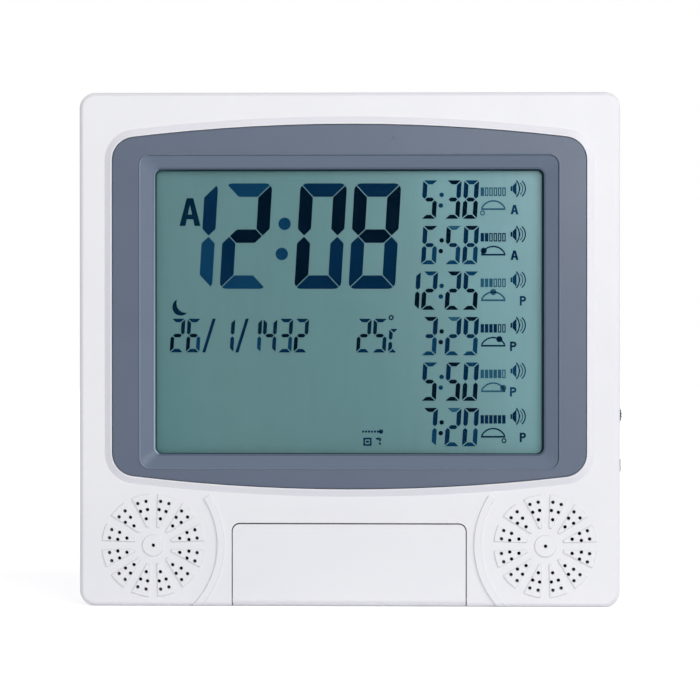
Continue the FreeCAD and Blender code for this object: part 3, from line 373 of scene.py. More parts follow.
def gentle_slopes(nodes, links):
    """1 on faces that lean some 20 to 30 degrees back from the front, such as the rim's, else 0."""
    facing = remap(nodes, links, place_along(nodes, links, "Y", "Normal"), 0.0, -1.0, 0.0, 1.0)
    no = (0, 0, 0)
    yes = (255, 255, 255)
    return ramp(nodes, links, facing, ((0.8, no), (0.86, yes), (0.95, yes), (0.98, no)))


# Plastics

def moulded_plastic(name, colour, tint, worn, rough, grain_scale, grain_depth, edge_radius,
                    painted_slope_shading=None):
    """Moulded plastic: faint cloudy colour, painted shading on gentle slopes where a colour for it is
    given, fine grain and edges rubbed pale by handling.
    """
    material, nodes, links, shader = new_material(name)
    clouds = noise(nodes, links, 14.0, 3.0)
    clouds_and_slope_shading = ramp(nodes, links, clouds, ((0.3, colour), (0.7, tint)))
    # Painted shading: gentle slopes, such as the rim's, take their own colour in place of light and shade
    if painted_slope_shading is not None:
        clouds_and_slope_shading = mixed(nodes, links, gentle_slopes(nodes, links), clouds_and_slope_shading, painted_slope_shading)
    edges, soft_normal = edge_mask(nodes, links, edge_radius)
    smears = noise(nodes, links, 45.0, 6.0, 0.65)
    patchy = remap(nodes, links, smears, 0.35, 0.65, 0.2, 1.0)
    wear = calculated(nodes, links, "MULTIPLY", edges, patchy)
    coloured(links, shader, mixed(nodes, links, wear, clouds_and_slope_shading, worn))
    roughened(nodes, links, shader, smears, rough - 0.06, rough + 0.06)
    grain = noise(nodes, links, grain_scale, 2.0, 0.5)
    grained(nodes, links, shader, grain, 0.25, grain_depth, soft_normal)
    shader.inputs["IOR"].default_value = 1.46
    return material


def casing_white():
    # Painted shade: the casing's rim slopes are a little darker than its face
    return moulded_plastic("casing_white", colour=(231, 231, 236), tint=(235, 235, 239),
                           worn=(240, 240, 243), rough=0.46, grain_scale=2600.0,
                           grain_depth=0.00004, edge_radius=0.0005,
                           painted_slope_shading=(228, 227, 234))


def bezel_grey():
    # Painted light: the bezel's slopes round the display are lighter than its flat face
    return moulded_plastic("bezel_grey", colour=(81, 93, 113), tint=(85, 97, 117),
                           worn=(92, 104, 124), rough=0.33, grain_scale=3200.0,
                           grain_depth=0.00002, edge_radius=0.0005,
                           painted_slope_shading=(97, 110, 130))


def holder_white():
    return moulded_plastic("holder_white", colour=(214, 213, 206), tint=(221, 220, 214),
                           worn=(228, 227, 222), rough=0.5, grain_scale=2200.0,
                           grain_depth=0.00004, edge_radius=0.0003)


def key_grey():
    return moulded_plastic("key_grey", colour=(112, 120, 134), tint=(119, 127, 141),
                           worn=(138, 146, 159), rough=0.48, grain_scale=3000.0,
                           grain_depth=0.00003, edge_radius=0.0004)


def socket_grey():
    return moulded_plastic("socket_grey", colour=(96, 96, 100), tint=(106, 106, 110),
                           worn=(128, 128, 132), rough=0.45, grain_scale=2600.0,
                           grain_depth=0.00003, edge_radius=0.0002)


def wheel_black():
    return moulded_plastic("wheel_black", colour=(38, 38, 41), tint=(46, 46, 49),
                           worn=(78, 78, 82), rough=0.42, grain_scale=2600.0,
                           grain_depth=0.00003, edge_radius=0.0002)


def chip_black():
    return moulded_plastic("chip_black", colour=(28, 28, 30), tint=(36, 36, 38),
                           worn=(60, 60, 62), rough=0.55, grain_scale=3000.0,
                           grain_depth=0.00003, edge_radius=0.0002)


def wire_black():
    return moulded_plastic("wire_black", colour=(30, 30, 32), tint=(40, 40, 42),
                           worn=(58, 58, 60), rough=0.4, grain_scale=1600.0,
                           grain_depth=0.00002, edge_radius=0.0002)


def ribbon_grey():
    """Flat cable: parallel wires under a grey jacket."""
    material, nodes, links, shader = new_material("ribbon_grey")
    coords = nodes.new("ShaderNodeTexCoord")
    wires = nodes.new("ShaderNodeTexWave")
    wires.bands_direction = "X"
    wires.inputs["Scale"].default_value = 120.0
    wires.inputs["Distortion"].default_value = 0.2
    links.new(coords.outputs["Object"], wires.inputs["Vector"])
    coloured(links, shader, ramp(nodes, links, wires.outputs["Fac"],
                                 ((0.2, (138, 138, 142)), (0.8, (176, 176, 180)))))
    roughened(nodes, links, shader, noise(nodes, links, 300.0), 0.38, 0.5)
    grained(nodes, links, shader, wires.outputs["Fac"], 0.6, 0.0002)
    return material


def lip_plastic():
    """The bezel's plastic, with a painted highlight on its sheared left lip, brightest at the lower
    corner.
    """
    material, nodes, links, shader = new_material("lip_plastic")
    # Painted highlight: the lip turns pale at its far left, most at the lower corner
    across = remap(nodes, links, place_along(nodes, links, "X"), LIP_HIGHLIGHT_FROM, LIP_HIGHLIGHT_TO, 0.0, 1.0)
    down = remap(nodes, links, place_along(nodes, links, "Z"), LIP_TOP, LIP_BOTTOM, 0.4, 1.0)
    pale = calculated(nodes, links, "MULTIPLY", across, down)
    smears = noise(nodes, links, 300.0, 5.0, 0.6)
    plain = ramp(nodes, links, smears, ((0.3, (82, 94, 112)), (0.7, (88, 100, 118))))
    coloured(links, shader, mixed(nodes, links, pale, plain, (160, 180, 194)))
    roughened(nodes, links, shader, smears, 0.45, 0.6)
    shader.inputs["Specular IOR Level"].default_value = 0.15
    return material


def bead_plastic():
    """The bezel's plastic on the bead round its recess, with painted light where it faces right and up and
    painted shade where it faces left and down.
    """
    material, nodes, links, shader = new_material("bead_plastic")
    coords = nodes.new("ShaderNodeTexCoord")
    toward = nodes.new("ShaderNodeVectorMath")
    toward.operation = "DOT_PRODUCT"
    toward.inputs[1].default_value = BEAD_LIGHT_WAY
    links.new(coords.outputs["Normal"], toward.inputs[0])
    facing = remap(nodes, links, toward.outputs["Value"], -0.45, 0.45, 0.0, 1.0)
    smears = noise(nodes, links, 300.0, 5.0, 0.6)
    # Painted light and shade: the pale colour is painted light, the dark one painted shade
    rubbed = ramp(nodes, links, smears, ((0.3, (122, 134, 152)), (0.7, (130, 142, 160))))
    dull = ramp(nodes, links, smears, ((0.3, (58, 70, 88)), (0.7, (64, 76, 94))))
    coloured(links, shader, mixed(nodes, links, facing, dull, rubbed))
    roughened(nodes, links, shader, smears, 0.45, 0.6)
    shader.inputs["Specular IOR Level"].default_value = 0.2
    return material


# Rubber and foam

def rubber(name, colour, tint, rough):
    material, nodes, links, shader = new_material(name)
    dust = noise(nodes, links, 90.0, 6.0, 0.7)
    coloured(links, shader, ramp(nodes, links, dust, ((0.35, colour), (0.7, tint))))
    roughened(nodes, links, shader, dust, rough - 0.05, rough + 0.08)
    grained(nodes, links, shader, noise(nodes, links, 1500.0, 2.0), 0.3, 0.00005)
    return material


def strip_rubber():
    return rubber("strip_rubber", (40, 40, 42), (64, 64, 64), rough=0.75)


def keypad_rubber():
    return rubber("keypad_rubber", (168, 170, 176), (182, 184, 189), rough=0.7)


def seal_painted_shadow():
    """Dark foam tape that also stands in for the bezel's shadow, with painted light and shade: paler at
    its left end than at its right.
    """
    material, nodes, links, shader = new_material("seal_painted_shadow")
    across = remap(nodes, links, place_along(nodes, links, "X"), SEAL_LIT_AT, SEAL_SHADED_AT, 0.0, 1.0)
    pores = noise(nodes, links, 1800.0, 4.0, 0.7)
    seal_lit = ramp(nodes, links, pores, ((0.3, (38, 62, 72)), (0.7, (52, 78, 88))))
    seal_shaded = ramp(nodes, links, pores, ((0.3, (14, 34, 42)), (0.7, (24, 48, 56))))
    coloured(links, shader, mixed(nodes, links, across, seal_lit, seal_shaded))
    shader.inputs["Roughness"].default_value = 0.85
    shader.inputs["Specular IOR Level"].default_value = 0.1
    grained(nodes, links, shader, pores, 0.4, 0.00005)
    return material


# Boards, metal, loudspeakers and cells

def circuit_board():
    """Solder mask over copper tracks."""
    material, nodes, links, shader = new_material("circuit_board")
    coords = nodes.new("ShaderNodeTexCoord")
    upright = nodes.new("ShaderNodeMapping")
    upright.inputs["Rotation"].default_value = (math.pi / 2, 0.0, 0.0)
    tracks = nodes.new("ShaderNodeTexBrick")
    tracks.inputs["Scale"].default_value = 110.0
    tracks.inputs["Mortar Size"].default_value = 0.06
    tracks.inputs["Mortar Smooth"].default_value = 0.2
    tracks.offset = 0.37
    tracks.squash = 1.6
    links.new(coords.outputs["Object"], upright.inputs["Vector"])
    links.new(upright.outputs["Vector"], tracks.inputs["Vector"])
    mask = ramp(nodes, links, noise(nodes, links, 30.0),
                ((0.3, (18, 92, 48)), (0.7, (26, 108, 58))))
    coloured(links, shader, mixed(nodes, links, tracks.outputs["Fac"], mask, (64, 138, 82)))
    roughened(nodes, links, shader, noise(nodes, links, 200.0), 0.24, 0.36)
    grained(nodes, links, shader, tracks.outputs["Fac"], 0.5, 0.00004)
    return material


def bright_metal(name, colour, tint, rough, stretch):
    """Plated or rolled metal with fine drawn lines and a few dull spots."""
    material, nodes, links, shader = new_material(name)
    lines = noise(nodes, links, 700.0, 5.0, 0.6, stretch)
    spots = noise(nodes, links, 160.0, 5.0, 0.7)
    coloured(links, shader, ramp(nodes, links, spots, ((0.35, tint), (0.6, colour))))
    roughened(nodes, links, shader, lines, rough - 0.08, rough + 0.1, low=0.25, high=0.75)
    shader.inputs["Metallic"].default_value = 1.0
    soft_normal = edge_mask(nodes, links, 0.00015)[1]
    grained(nodes, links, shader, lines, 0.15, 0.00002, soft_normal)
    return material


def plated_metal():
    return bright_metal("plated_metal", (214, 212, 206), (188, 184, 174), rough=0.26,
                        stretch=(1.0, 0.2, 1.0))


def screw_steel():
    return bright_metal("screw_steel", (196, 196, 198), (160, 160, 164), rough=0.32,
                        stretch=(1.0, 1.0, 0.3))


def speaker_metal():
    """Black painted steel with orange-peel texture."""
    material, nodes, links, shader = new_material("speaker_metal")
    patches = noise(nodes, links, 60.0)
    coloured(links, shader, ramp(nodes, links, patches,
                                 ((0.3, (40, 40, 42)), (0.7, (54, 54, 56)))))
    roughened(nodes, links, shader, patches, 0.3, 0.45)
    grained(nodes, links, shader, noise(nodes, links, 900.0, 1.0), 0.3, 0.00004)
    return material


def magnet_ferrite():
    material, nodes, links, shader = new_material("magnet_ferrite")
    spots = noise(nodes, links, 400.0, 8.0, 0.75)
    coloured(links, shader, ramp(nodes, links, spots,
                                 ((0.35, (44, 44, 48)), (0.7, (72, 71, 74)))))
    roughened(nodes, links, shader, spots, 0.5, 0.75)
    grained(nodes, links, shader, spots, 0.5, 0.0001)
    return material


def speaker_paper():
    """Dark pulp paper with felted fibres."""
    material, nodes, links, shader = new_material("speaker_paper")
    fibres = noise(nodes, links, 500.0, 8.0, 0.7, (1.0, 1.0, 0.35))
    coloured(links, shader, ramp(nodes, links, fibres,
                                 ((0.3, (30, 30, 32)), (0.75, (62, 61, 60)))))
    shader.inputs["Roughness"].default_value = 0.9
    grained(nodes, links, shader, fibres, 0.6, 0.00008)
    return material


def battery_jacket():
    """A plain shrink sleeve round each cell, blue and at one end silver."""
    material, nodes, links, shader = new_material("battery_jacket")
    band = remap(nodes, links, place_along(nodes, links, "X"), *JACKET_BAND, 0.0, 1.0)
    scuffs = noise(nodes, links, 220.0, 7.0, 0.7, (0.3, 1.0, 1.0))
    blue = ramp(nodes, links, scuffs, ((0.35, (38, 66, 104)), (0.75, (52, 82, 122))))
    silver = ramp(nodes, links, scuffs, ((0.35, (172, 176, 182)),
                                         (0.75, (196, 199, 203))))
    coloured(links, shader, mixed(nodes, links, band, blue, silver))
    roughened(nodes, links, shader, scuffs, 0.22, 0.4)
    grained(nodes, links, shader, scuffs, 0.1, 0.00003)
    return material


# Display, pane and inks

def display_glass():
    """The reflective display: grey-green with a painted sheen, brighter towards the upper right, with fine
    grain.
    """
    material, nodes, links, shader = new_material("display_glass")
    across = remap(nodes, links, place_along(nodes, links, "X"), *DISPLAY_SIDES,
                   0.0, DISPLAY_ACROSS_SHARE)
    up = remap(nodes, links, place_along(nodes, links, "Z"), *DISPLAY_ENDS, 0.0, DISPLAY_UP_SHARE)
    # Painted sheen across the display
    sheen = ramp(nodes, links, calculated(nodes, links, "ADD", across, up), DISPLAY_SHEEN_COLOURS)
    grain = noise(nodes, links, 5000.0, 2.0, 0.5)
    speckles = remap(nodes, links, grain, 0.35, 0.65, 0.0, 0.05)
    coloured(links, shader, mixed(nodes, links, speckles, sheen, (140, 168, 165)))
    roughened(nodes, links, shader, grain, 0.32, 0.4)
    shader.inputs["Specular IOR Level"].default_value = 0.06
    grained(nodes, links, shader, grain, 0.1, 0.00001)
    return material


def clear_pane():
    """The clear pane: nearly invisible, with a faint haze of fine scratches."""
    material, nodes, links, shader = new_material("clear_pane")
    scratches = noise(nodes, links, 260.0, 8.0, 0.7, (1.0, 1.0, 0.15))
    coloured(links, shader, ramp(nodes, links, scratches,
                                 ((0.4, (10, 16, 20)), (0.75, (44, 52, 56)))))
    roughened(nodes, links, shader, scratches, 0.04, 0.12)
    links.new(remap(nodes, links, scratches, 0.4, 0.8, 0.02, 0.05), shader.inputs["Alpha"])
    shader.inputs["Specular IOR Level"].default_value = 0.25
    return material


def ink(name, colour, tint):
    """A display segment: dark dye with a slight change of depth over it."""
    material, nodes, links, shader = new_material(name)
    depth = noise(nodes, links, 60.0, 3.0)
    coloured(links, shader, ramp(nodes, links, depth, ((0.3, colour), (0.7, tint))))
    roughened(nodes, links, shader, depth, 0.28, 0.36)
    shader.inputs["Specular IOR Level"].default_value = 0.0
    return material


def inks():
    return {
        "deep": ink("ink_deep", (0, 17, 34), (2, 24, 42)),
        "dark": ink("ink_dark", (2, 32, 52), (4, 39, 60)),
        "navy": ink("ink_navy", (3, 37, 66), (5, 43, 74)),
        "mid": ink("ink_mid", (8, 54, 86), (14, 62, 94)),
        "pale": ink("ink_pale", (34, 82, 106), (44, 92, 114)),
    }


def symbol_print():
    """Pale printing on the keys, worn thin in places."""
    material, nodes, links, shader = new_material("symbol_print")
    worn = noise(nodes, links, 900.0, 6.0, 0.7)
    coloured(links, shader, ramp(nodes, links, worn,
                                 ((0.35, (206, 208, 212)), (0.6, (232, 233, 236)))))
    roughened(nodes, links, shader, worn, 0.45, 0.6)
    return material


MATERIAL_MAKERS = (casing_white, bezel_grey, clear_pane, display_glass, holder_white, strip_rubber,
                   circuit_board, chip_black, plated_metal, keypad_rubber, key_grey, speaker_metal,
                   magnet_ferrite, speaker_paper, wire_black, wheel_black, socket_grey,
                   battery_jacket, screw_steel, ribbon_grey)


def dress_cad_nodes():
    """Give every CAD node the material of its slot; each maker is named as its slot is."""
    made = {maker.__name__: maker() for maker in MATERIAL_MAKERS}
    for part in frame["record"]["subparts"]:
        for holder in frame["nodes"][part["node"]].material_slots:
            holder.material = made[part["material_slot"]]


# Flat shapes, as lists of (u, v) points

def half_plane_cut(points, first, second, inset):
    """Keep what lies left of the line from the first to the second point, moved in by an inset."""
    along_u = second[0] - first[0]
    along_v = second[1] - first[1]
    length = math.hypot(along_u, along_v)
    inward_u = -along_v / length
    inward_v = along_u / length
    offset = first[0] * inward_u + first[1] * inward_v + inset
    kept = []
    for start, end in zip(points, points[1:] + points[:1]):
        start_depth = start[0] * inward_u + start[1] * inward_v - offset
        end_depth = end[0] * inward_u + end[1] * inward_v - offset
        if start_depth >= 0:
            kept.append(start)
        if (start_depth >= 0) != (end_depth >= 0):
            share = start_depth / (start_depth - end_depth)
            kept.append((start[0] + share * (end[0] - start[0]),
                         start[1] + share * (end[1] - start[1])))
    return kept


def arc_points(u, v, radius, start, end, steps=CIRCLE_STEPS):
    points = []
    for step in range(steps + 1):
        angle = math.radians(start + (end - start) * step / steps)
        points.append((u + radius * math.cos(angle), v + radius * math.sin(angle)))
    return points


def arc_band(u, v, radius, width, start, end, steps=CIRCLE_STEPS):
    """A curved stroke of even width between two angles."""
    outer = arc_points(u, v, radius + width / 2, start, end, steps)
    inner = arc_points(u, v, radius - width / 2, start, end, steps)
    return outer + inner[::-1]


def disc(u, v, radius, steps=CIRCLE_STEPS):
    points = []
    for step in range(steps):
        angle = 2 * math.pi * step / steps
        points.append((u + radius * math.cos(angle), v + radius * math.sin(angle)))
    return points


def ring(u, v, radius, width):
    """A ring as two half bands."""
    return [arc_band(u, v, radius, width, start, start + 180, ARC_STEPS) for start in (0, 180)]


def block(left, bottom, right, top):
    return [(left, bottom), (right, bottom), (right, top), (left, top)]


def frame_lines(left, bottom, right, top, width):
    """The four sides of a rectangle's outline."""
    return [block(left, bottom, right, bottom + width), block(left, top - width, right, top),
            block(left, bottom + width, left + width, top - width),
            block(right - width, bottom + width, right, top - width)]


def rounded_outline(width, height, radius):
    points = []
    corners = ((width - radius, height - radius, 0), (radius, height - radius, 90),
               (radius, radius, 180), (width - radius, radius, 270))
    for corner_u, corner_v, start in corners:
        points += arc_points(corner_u, corner_v, radius, start, start + 90.0, ARC_STEPS)
    return points


def segment_outlines(width, height, stroke, level):
    """The seven mitred fields of a digit, each drawn anticlockwise."""
    mid = height / 2
    half = stroke / 2
    slope = level / 2
    right = ((width - half, mid), (width, mid + half), (width, height),
             (width - stroke, height - level), (width - stroke, mid + half))
    top = ((stroke, height - level), (width - stroke, height - level), (width, height), (0, height))
    middle = ((half, mid), (half + slope, mid - slope), (width - half - slope, mid - slope),
              (width - half, mid), (width - half - slope, mid + slope), (half + slope, mid + slope))
    upper_left = tuple((width - u, v) for u, v in reversed(right))
    lower_right = tuple((u, height - v) for u, v in reversed(right))
    lower_left = tuple((width - u, height - v) for u, v in right)
    bottom = tuple((u, height - v) for u, v in reversed(top))
    return {"a": top, "b": right, "c": lower_right, "d": bottom, "e": lower_left,
            "f": upper_left, "g": middle}


def slants(start, end):
    """Whether a field's side slants, as the mitres with a gap beside them do."""
    return start[0] != end[0] and start[1] != end[1]


def sheared(points, left, bottom):
    return [(left + u + SLANT * v, bottom + v) for u, v in points]


def digit_shapes(figure, left, bottom, style, shades):
    """The lit segments of one figure; shades maps each segment to its ink."""
    shapes = []
    outline = rounded_outline(style["width"], style["height"], style["radius"])
    fields = segment_outlines(style["width"], style["height"], style["stroke"], style["level"])
    for segment in SEGMENTS[figure]:
        field = fields[segment]
        points = outline
        for start, end in zip(field, field[1:] + field[:1]):
            inset = style["gap"] / 2 if slants(start, end) else 0.0
            points = half_plane_cut(points, start, end, inset)
        shapes.append((shades[segment], sheared(points, left, bottom)))
    return shapes


def letter_a(left, bottom, width, height, stroke):
    """A capital A without overlaps: two legs that meet in the middle, and a bar."""
    middle = width / 2
    tip = stroke * 0.55
    inner_top = height - stroke * 1.15
    left_leg = [(0, 0), (stroke, 0), (middle, inner_top), (middle, height), (middle - tip, height)]
    right_leg = [(width - u, v) for u, v in reversed(left_leg)]
    bar_low = height * 0.24
    bar_high = bar_low + stroke * 0.8
    lean = (middle - stroke) / inner_top
    bar = [(stroke + lean * bar_low, bar_low), (width - stroke - lean * bar_low, bar_low),
           (width - stroke - lean * bar_high, bar_high), (stroke + lean * bar_high, bar_high)]
    return [[(left + u, bottom + v) for u, v in part] for part in (left_leg, right_leg, bar)]


def letter_p(left, bottom, width, height, stroke):
    """A capital P: a stem and a bowl."""
    bowl_radius = height * 0.3
    flat_end = left + (width - bowl_radius)
    stem_right = left + stroke
    top = bottom + height
    middle = top - bowl_radius
    stem = block(left, bottom, stem_right, top)
    outer_arc = arc_points(flat_end, middle, bowl_radius, 90, -90, ARC_STEPS)
    inner_arc = arc_points(flat_end, middle, bowl_radius - stroke, -90, 90, ARC_STEPS)
    bowl = ([(stem_right, top)] + outer_arc + [(stem_right, middle - bowl_radius)]
            + [(stem_right, middle - bowl_radius + stroke)] + inner_arc
            + [(stem_right, top - stroke)])
    return [stem, bowl]


def heading(circle, point):
    """The direction in degrees from a circle's middle to a point."""
    return math.degrees(math.atan2(point[1] - circle[1], point[0] - circle[0]))


def moon_shape():
    """A crescent that opens to the upper right."""
    outer = arc_points(*MOON_OUTER, heading(MOON_OUTER, MOON_UPPER_TIP),
                       heading(MOON_OUTER, MOON_LOWER_TIP) + 360)
    inner = arc_points(*MOON_INNER, heading(MOON_INNER, MOON_LOWER_TIP) + 360,
                       heading(MOON_INNER, MOON_UPPER_TIP))
    return outer + inner


def speaker_symbol(left, middle, shade, faint):
    """A small loudspeaker with three sound arcs, of which the last is dark."""
    magnet = block(left, middle - 1.05, left + 0.8, middle + 1.05)
    cone = [(left + 0.95, middle - 1.25), (left + 2.6, middle - 3.0), (left + 2.6, middle + 3.0),
            (left + 0.95, middle + 1.25)]
    rim = arc_band(left - 1.75, middle, 5.6, 0.55, -40, 40, ARC_STEPS)
    shapes = [(shade, magnet), (shade, cone), (shade, rim)]
    source = left + 2.0
    for (radius, width, half), tone in zip(SPEAKER_ARCS, (faint, faint, shade)):
        shapes.append((tone, arc_band(source, middle, radius, width, -half, half, ARC_STEPS)))
    return shapes


def row_gauge(bottom, filled):
    """One small field for each row on the display, of which the first few are filled."""
    shapes = []
    for index in range(len(ROW_TIMES)):
        left = GAUGE_LEFT + index * GAUGE_PITCH
        if index < filled:
            shapes.append(block(left, bottom, left + GAUGE_WIDTH, bottom + GAUGE_HEIGHT))
        else:
            shapes += frame_lines(left, bottom, left + GAUGE_WIDTH, bottom + GAUGE_HEIGHT, GAUGE_LINE)
    return shapes


def sun_path(horizon, share, below):
    """A low arc over a horizon line with a disc on it, which tells the time of day."""
    middle = SUN_LEFT + SUN_REACH
    shapes = [block(SUN_LEFT, horizon, SUN_LEFT + 2 * SUN_REACH, horizon + HORIZON_LINE)]
    shapes.append(arc_band(middle, horizon - SUN_SINK, SUN_PATH_RADIUS, SUN_PATH_LINE, *SUN_PATH_ENDS))
    angle = math.radians(SUN_TRAVEL[0] - (SUN_TRAVEL[0] - SUN_TRAVEL[1]) * share)
    sun_u = middle + SUN_PATH_RADIUS * math.cos(angle)
    sun_v = horizon - SUN_SINK + SUN_PATH_RADIUS * math.sin(angle)
    if below:
        shapes += ring(sun_u, horizon - NIGHT_SUN_DROP, NIGHT_SUN_RADIUS, NIGHT_SUN_LINE)
    else:
        shapes.append(disc(sun_u, sun_v, SUN_RADIUS, DOT_STEPS))
    return shapes


# Pieces

def add_piece(name, verts, faces, materials, face_materials, body):
    mesh = bpy.data.meshes.new(name)
    mesh.from_pydata(verts, [], faces)
    for material in materials:
        mesh.materials.append(material)
    if face_materials:
        mesh.polygons.foreach_set("material_index", face_materials)
    mesh.update()
    piece = bpy.data.objects.new(name, mesh)
    bpy.context.scene.collection.objects.link(piece)
    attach(piece, body)
    return piece


def tile_mesh(name, shapes, materials, place, body):
    """Thin tiles just before a place that faces the front, one for each (ink, outline)."""
    back = place[1] - INK_LIFT * MM
    front = back - INK_THICKNESS * MM
    verts = []
    faces = []
    face_inks = []
    order = sorted(set(shade for shade, _ in shapes))
    for shade, points in shapes:
        start = len(verts)
        count = len(points)
        for depth in (front, back):
            verts.extend((place[0] + u * MM, depth, place[2] + v * MM) for u, v in points)
        faces.append(tuple(range(start, start + count)))
        for index in range(count):
            following = (index + 1) % count
            faces.append((start + index, start + count + index,
                          start + count + following, start + following))
        face_inks += [order.index(shade)] * (count + 1)
    add_piece(name, verts, faces, [materials[shade] for shade in order], face_inks, body)


def swept_frame(name, rings, material, smooth):
    """A closed frame through rings of points, each ring at its own depth."""
    middle = display_middle()
    verts = []
    for points, depth in rings:
        verts.extend((middle[0] + u * MM, depth * MM, middle[2] + v * MM) for u, v in points)
    count = len(rings[0][0])
    faces = []
    for index in range(len(rings)):
        here = index * count
        beyond = (index + 1) % len(rings) * count
        for step in range(count):
            following = (step + 1) % count
            faces.append((here + step, here + following, beyond + following, beyond + step))
    piece = add_piece(name, verts, faces, [material], None, "casing")
    piece.data.polygons.foreach_set("use_smooth", [smooth] * len(faces))


# Display

def display_middle():
    low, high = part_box("display_cell")
    return ((low.x + high.x) / 2, low.y, (low.z + high.z) / 2)


def time_shapes():
    """The big figures with their colon, the letter before them and the moon below."""
    shapes = []
    bottom = TIME_TOP - TIME_STYLE["height"]
    for figure, left, shades in TIME_DIGITS:
        shapes += digit_shapes(figure, left, bottom, TIME_STYLE, shades)
    for u, v in COLON_DOTS:
        shapes.append(("mid", disc(u, v, COLON_RADIUS)))
    for part in letter_a(*TIME_LETTER):
        shapes.append(("dark", part))
    shapes.append(("dark", moon_shape()))
    return shapes


def row_shades(row, column):
    """Upper and lower halves take turns in depth, as the display is driven in steps."""
    if row % 2 == 0:
        shades = {"a": "mid", "b": "navy", "f": "navy", "g": "deep", "c": "deep", "d": "deep", "e": "deep"}
        if column == 2:
            shades["a"] = "deep"
    else:
        shades = {"a": "deep", "b": "navy", "f": "navy", "g": "navy", "c": "mid", "d": "mid", "e": "navy"}
        if column == 2:
            shades["a"] = "pale"
            shades["f"] = "deep"
    return shades


def row_shapes():
    """The six times on the right."""
    shapes = []
    for row, figures in enumerate(ROW_TIMES):
        top = ROW_TOP - row * ROW_PITCH
        bottom = top - ROW_STYLE["height"]
        for column, figure in enumerate(figures):
            if figure != " ":
                shapes += digit_shapes(figure, ROW_PLACES[column], bottom, ROW_STYLE,
                                       row_shades(row, column))
        for u, drop in ROW_COLON:
            shade = "mid" if row % 2 == 0 else "deep"
            shapes.append((shade, disc(u, top - drop, ROW_COLON_RADIUS, DOT_STEPS)))
    return shapes


def row_letter(row, bottom):
    letter, left, width = ROW_LETTERS[row]
    draw = letter_a if letter == "A" else letter_p
    return draw(left, bottom, width, LETTER_HEIGHT, LETTER_STROKES[letter])


def label_shapes():
    """Beside each time: a gauge, a sun path, a loudspeaker and a letter for the half of the day."""
    shapes = []
    for row in range(len(ROW_TIMES)):
        top = ROW_TOP - row * ROW_PITCH
        label_shade, symbol_shade = ("pale", "mid") if row % 2 == 0 else ("navy", "navy")
        for part in row_gauge(top - GAUGE_DROP, row + 1):
            shapes.append((label_shade, part))
        for part in sun_path(top - SUN_DROP, DAY_SHARES[row], row in NIGHT_ROWS):
            shapes.append((label_shade, part))
        shapes += speaker_symbol(SPEAKER_LEFT, top - SPEAKER_DROP, symbol_shade, "pale")
        for part in row_letter(row, top - LETTER_DROP):
            shapes.append((symbol_shade, part))
    return shapes


def date_shades(left):
    shades = {"a": "navy", "b": "dark", "c": "navy", "d": "navy", "e": "deep", "f": "dark", "g": "deep"}
    if not left:
        shades["c"] = "mid"
    return shades


def date_shapes():
    """The date between its slashes, and the temperature."""
    shapes = []
    bottom = DATE_TOP - DATE_STYLE["height"]
    for index, (figure, left) in enumerate(DATE_PLACES):
        shapes += digit_shapes(figure, left, bottom, DATE_STYLE, date_shades(index % 2 == 0))
    for left in SLASH_PLACES:
        right = left + SLASH_WIDTH
        shapes.append(("navy", [(left, bottom), (right, bottom), (right + SLASH_LEAN, DATE_TOP),
                                (left + SLASH_LEAN, DATE_TOP)]))
    return shapes + degree_shapes()


def degree_shapes():
    """The degree ring and the small c beside the temperature."""
    shapes = [("navy", part) for part in ring(*DEGREE_RING)]
    shades = dict.fromkeys(SEGMENTS["c"], "navy")
    return shapes + digit_shapes("c", *DEGREE_LETTER_PLACE, DEGREE_STYLE, shades)


def weekday_shapes():
    """A row of seven dots with the last one marked, over a calendar leaf and the day's number."""
    outlines = []
    for day in range(WEEKDAYS):
        radius = WEEKDAY_MARKED_DOT if day == WEEKDAYS - 1 else WEEKDAY_DOT
        outlines.append(disc(WEEKDAY_LEFT + day * WEEKDAY_PITCH, WEEKDAY_LEVEL, radius,
                             SMALL_DOT_STEPS))
    outlines += frame_lines(*CALENDAR_LEAF, CALENDAR_LINE)
    outlines.append(block(*CALENDAR_MARK))
    figure = str(WEEKDAYS)
    shades = dict.fromkeys(SEGMENTS[figure], "navy")
    shapes = [("navy", points) for points in outlines]
    return shapes + digit_shapes(figure, *WEEKDAY_FIGURE_PLACE, WEEKDAY_STYLE, shades)


def add_display(materials):
    for name, shapes in (("time_segments", time_shapes()), ("row_segments", row_shapes()),
                         ("row_symbols", label_shapes()), ("date_segments", date_shapes()),
                         ("weekday_marks", weekday_shapes())):
        tile_mesh(name, shapes, materials, display_middle(), "casing")


# Window edge

def inset_ring(width, height, radius, left, right, top, bottom):
    """A rounded outline moved inwards by an inset for each side, in display places."""
    low_u = left - width / 2
    high_u = width / 2 - right
    low_v = bottom - height / 2
    high_v = height / 2 - top
    corner = radius - min(left, right, top, bottom)
    return [(low_u + u, low_v + v) for u, v in rounded_outline(high_u - low_u, high_v - low_v, corner)]


def window_ring(left, right, top, bottom):
    return inset_ring(WINDOW_WIDTH, WINDOW_HEIGHT, WINDOW_RADIUS, left, right, top, bottom)


def recess_ring(inset):
    return inset_ring(RECESS_WIDTH, RECESS_HEIGHT, RECESS_RADIUS, inset, inset, inset, inset)


def add_window_edge():
    lip = [(window_ring(inset, inset, inset, inset), depth) for inset, depth in LIP_PROFILE]
    swept_frame("window_lip", lip, lip_plastic(), True)
    bead = [(recess_ring(inset), depth) for inset, depth in BEAD_PROFILE]
    swept_frame("recess_bead", bead, bead_plastic(), True)
    # A dark seal round the window: a dark gap there, with a painted shadow of the bezel, widest at the
    # right and top
    outer = window_ring(0.0, 0.0, 0.0, 0.0)
    inner = window_ring(*SEAL_SHADOW_INSETS)
    seal = [(outer, SEAL_BACK), (outer, SEAL_FRONT), (inner, SEAL_FRONT), (inner, SEAL_BACK)]
    swept_frame("window_seal_and_shadow", seal, seal_painted_shadow(), False)


# Key symbols

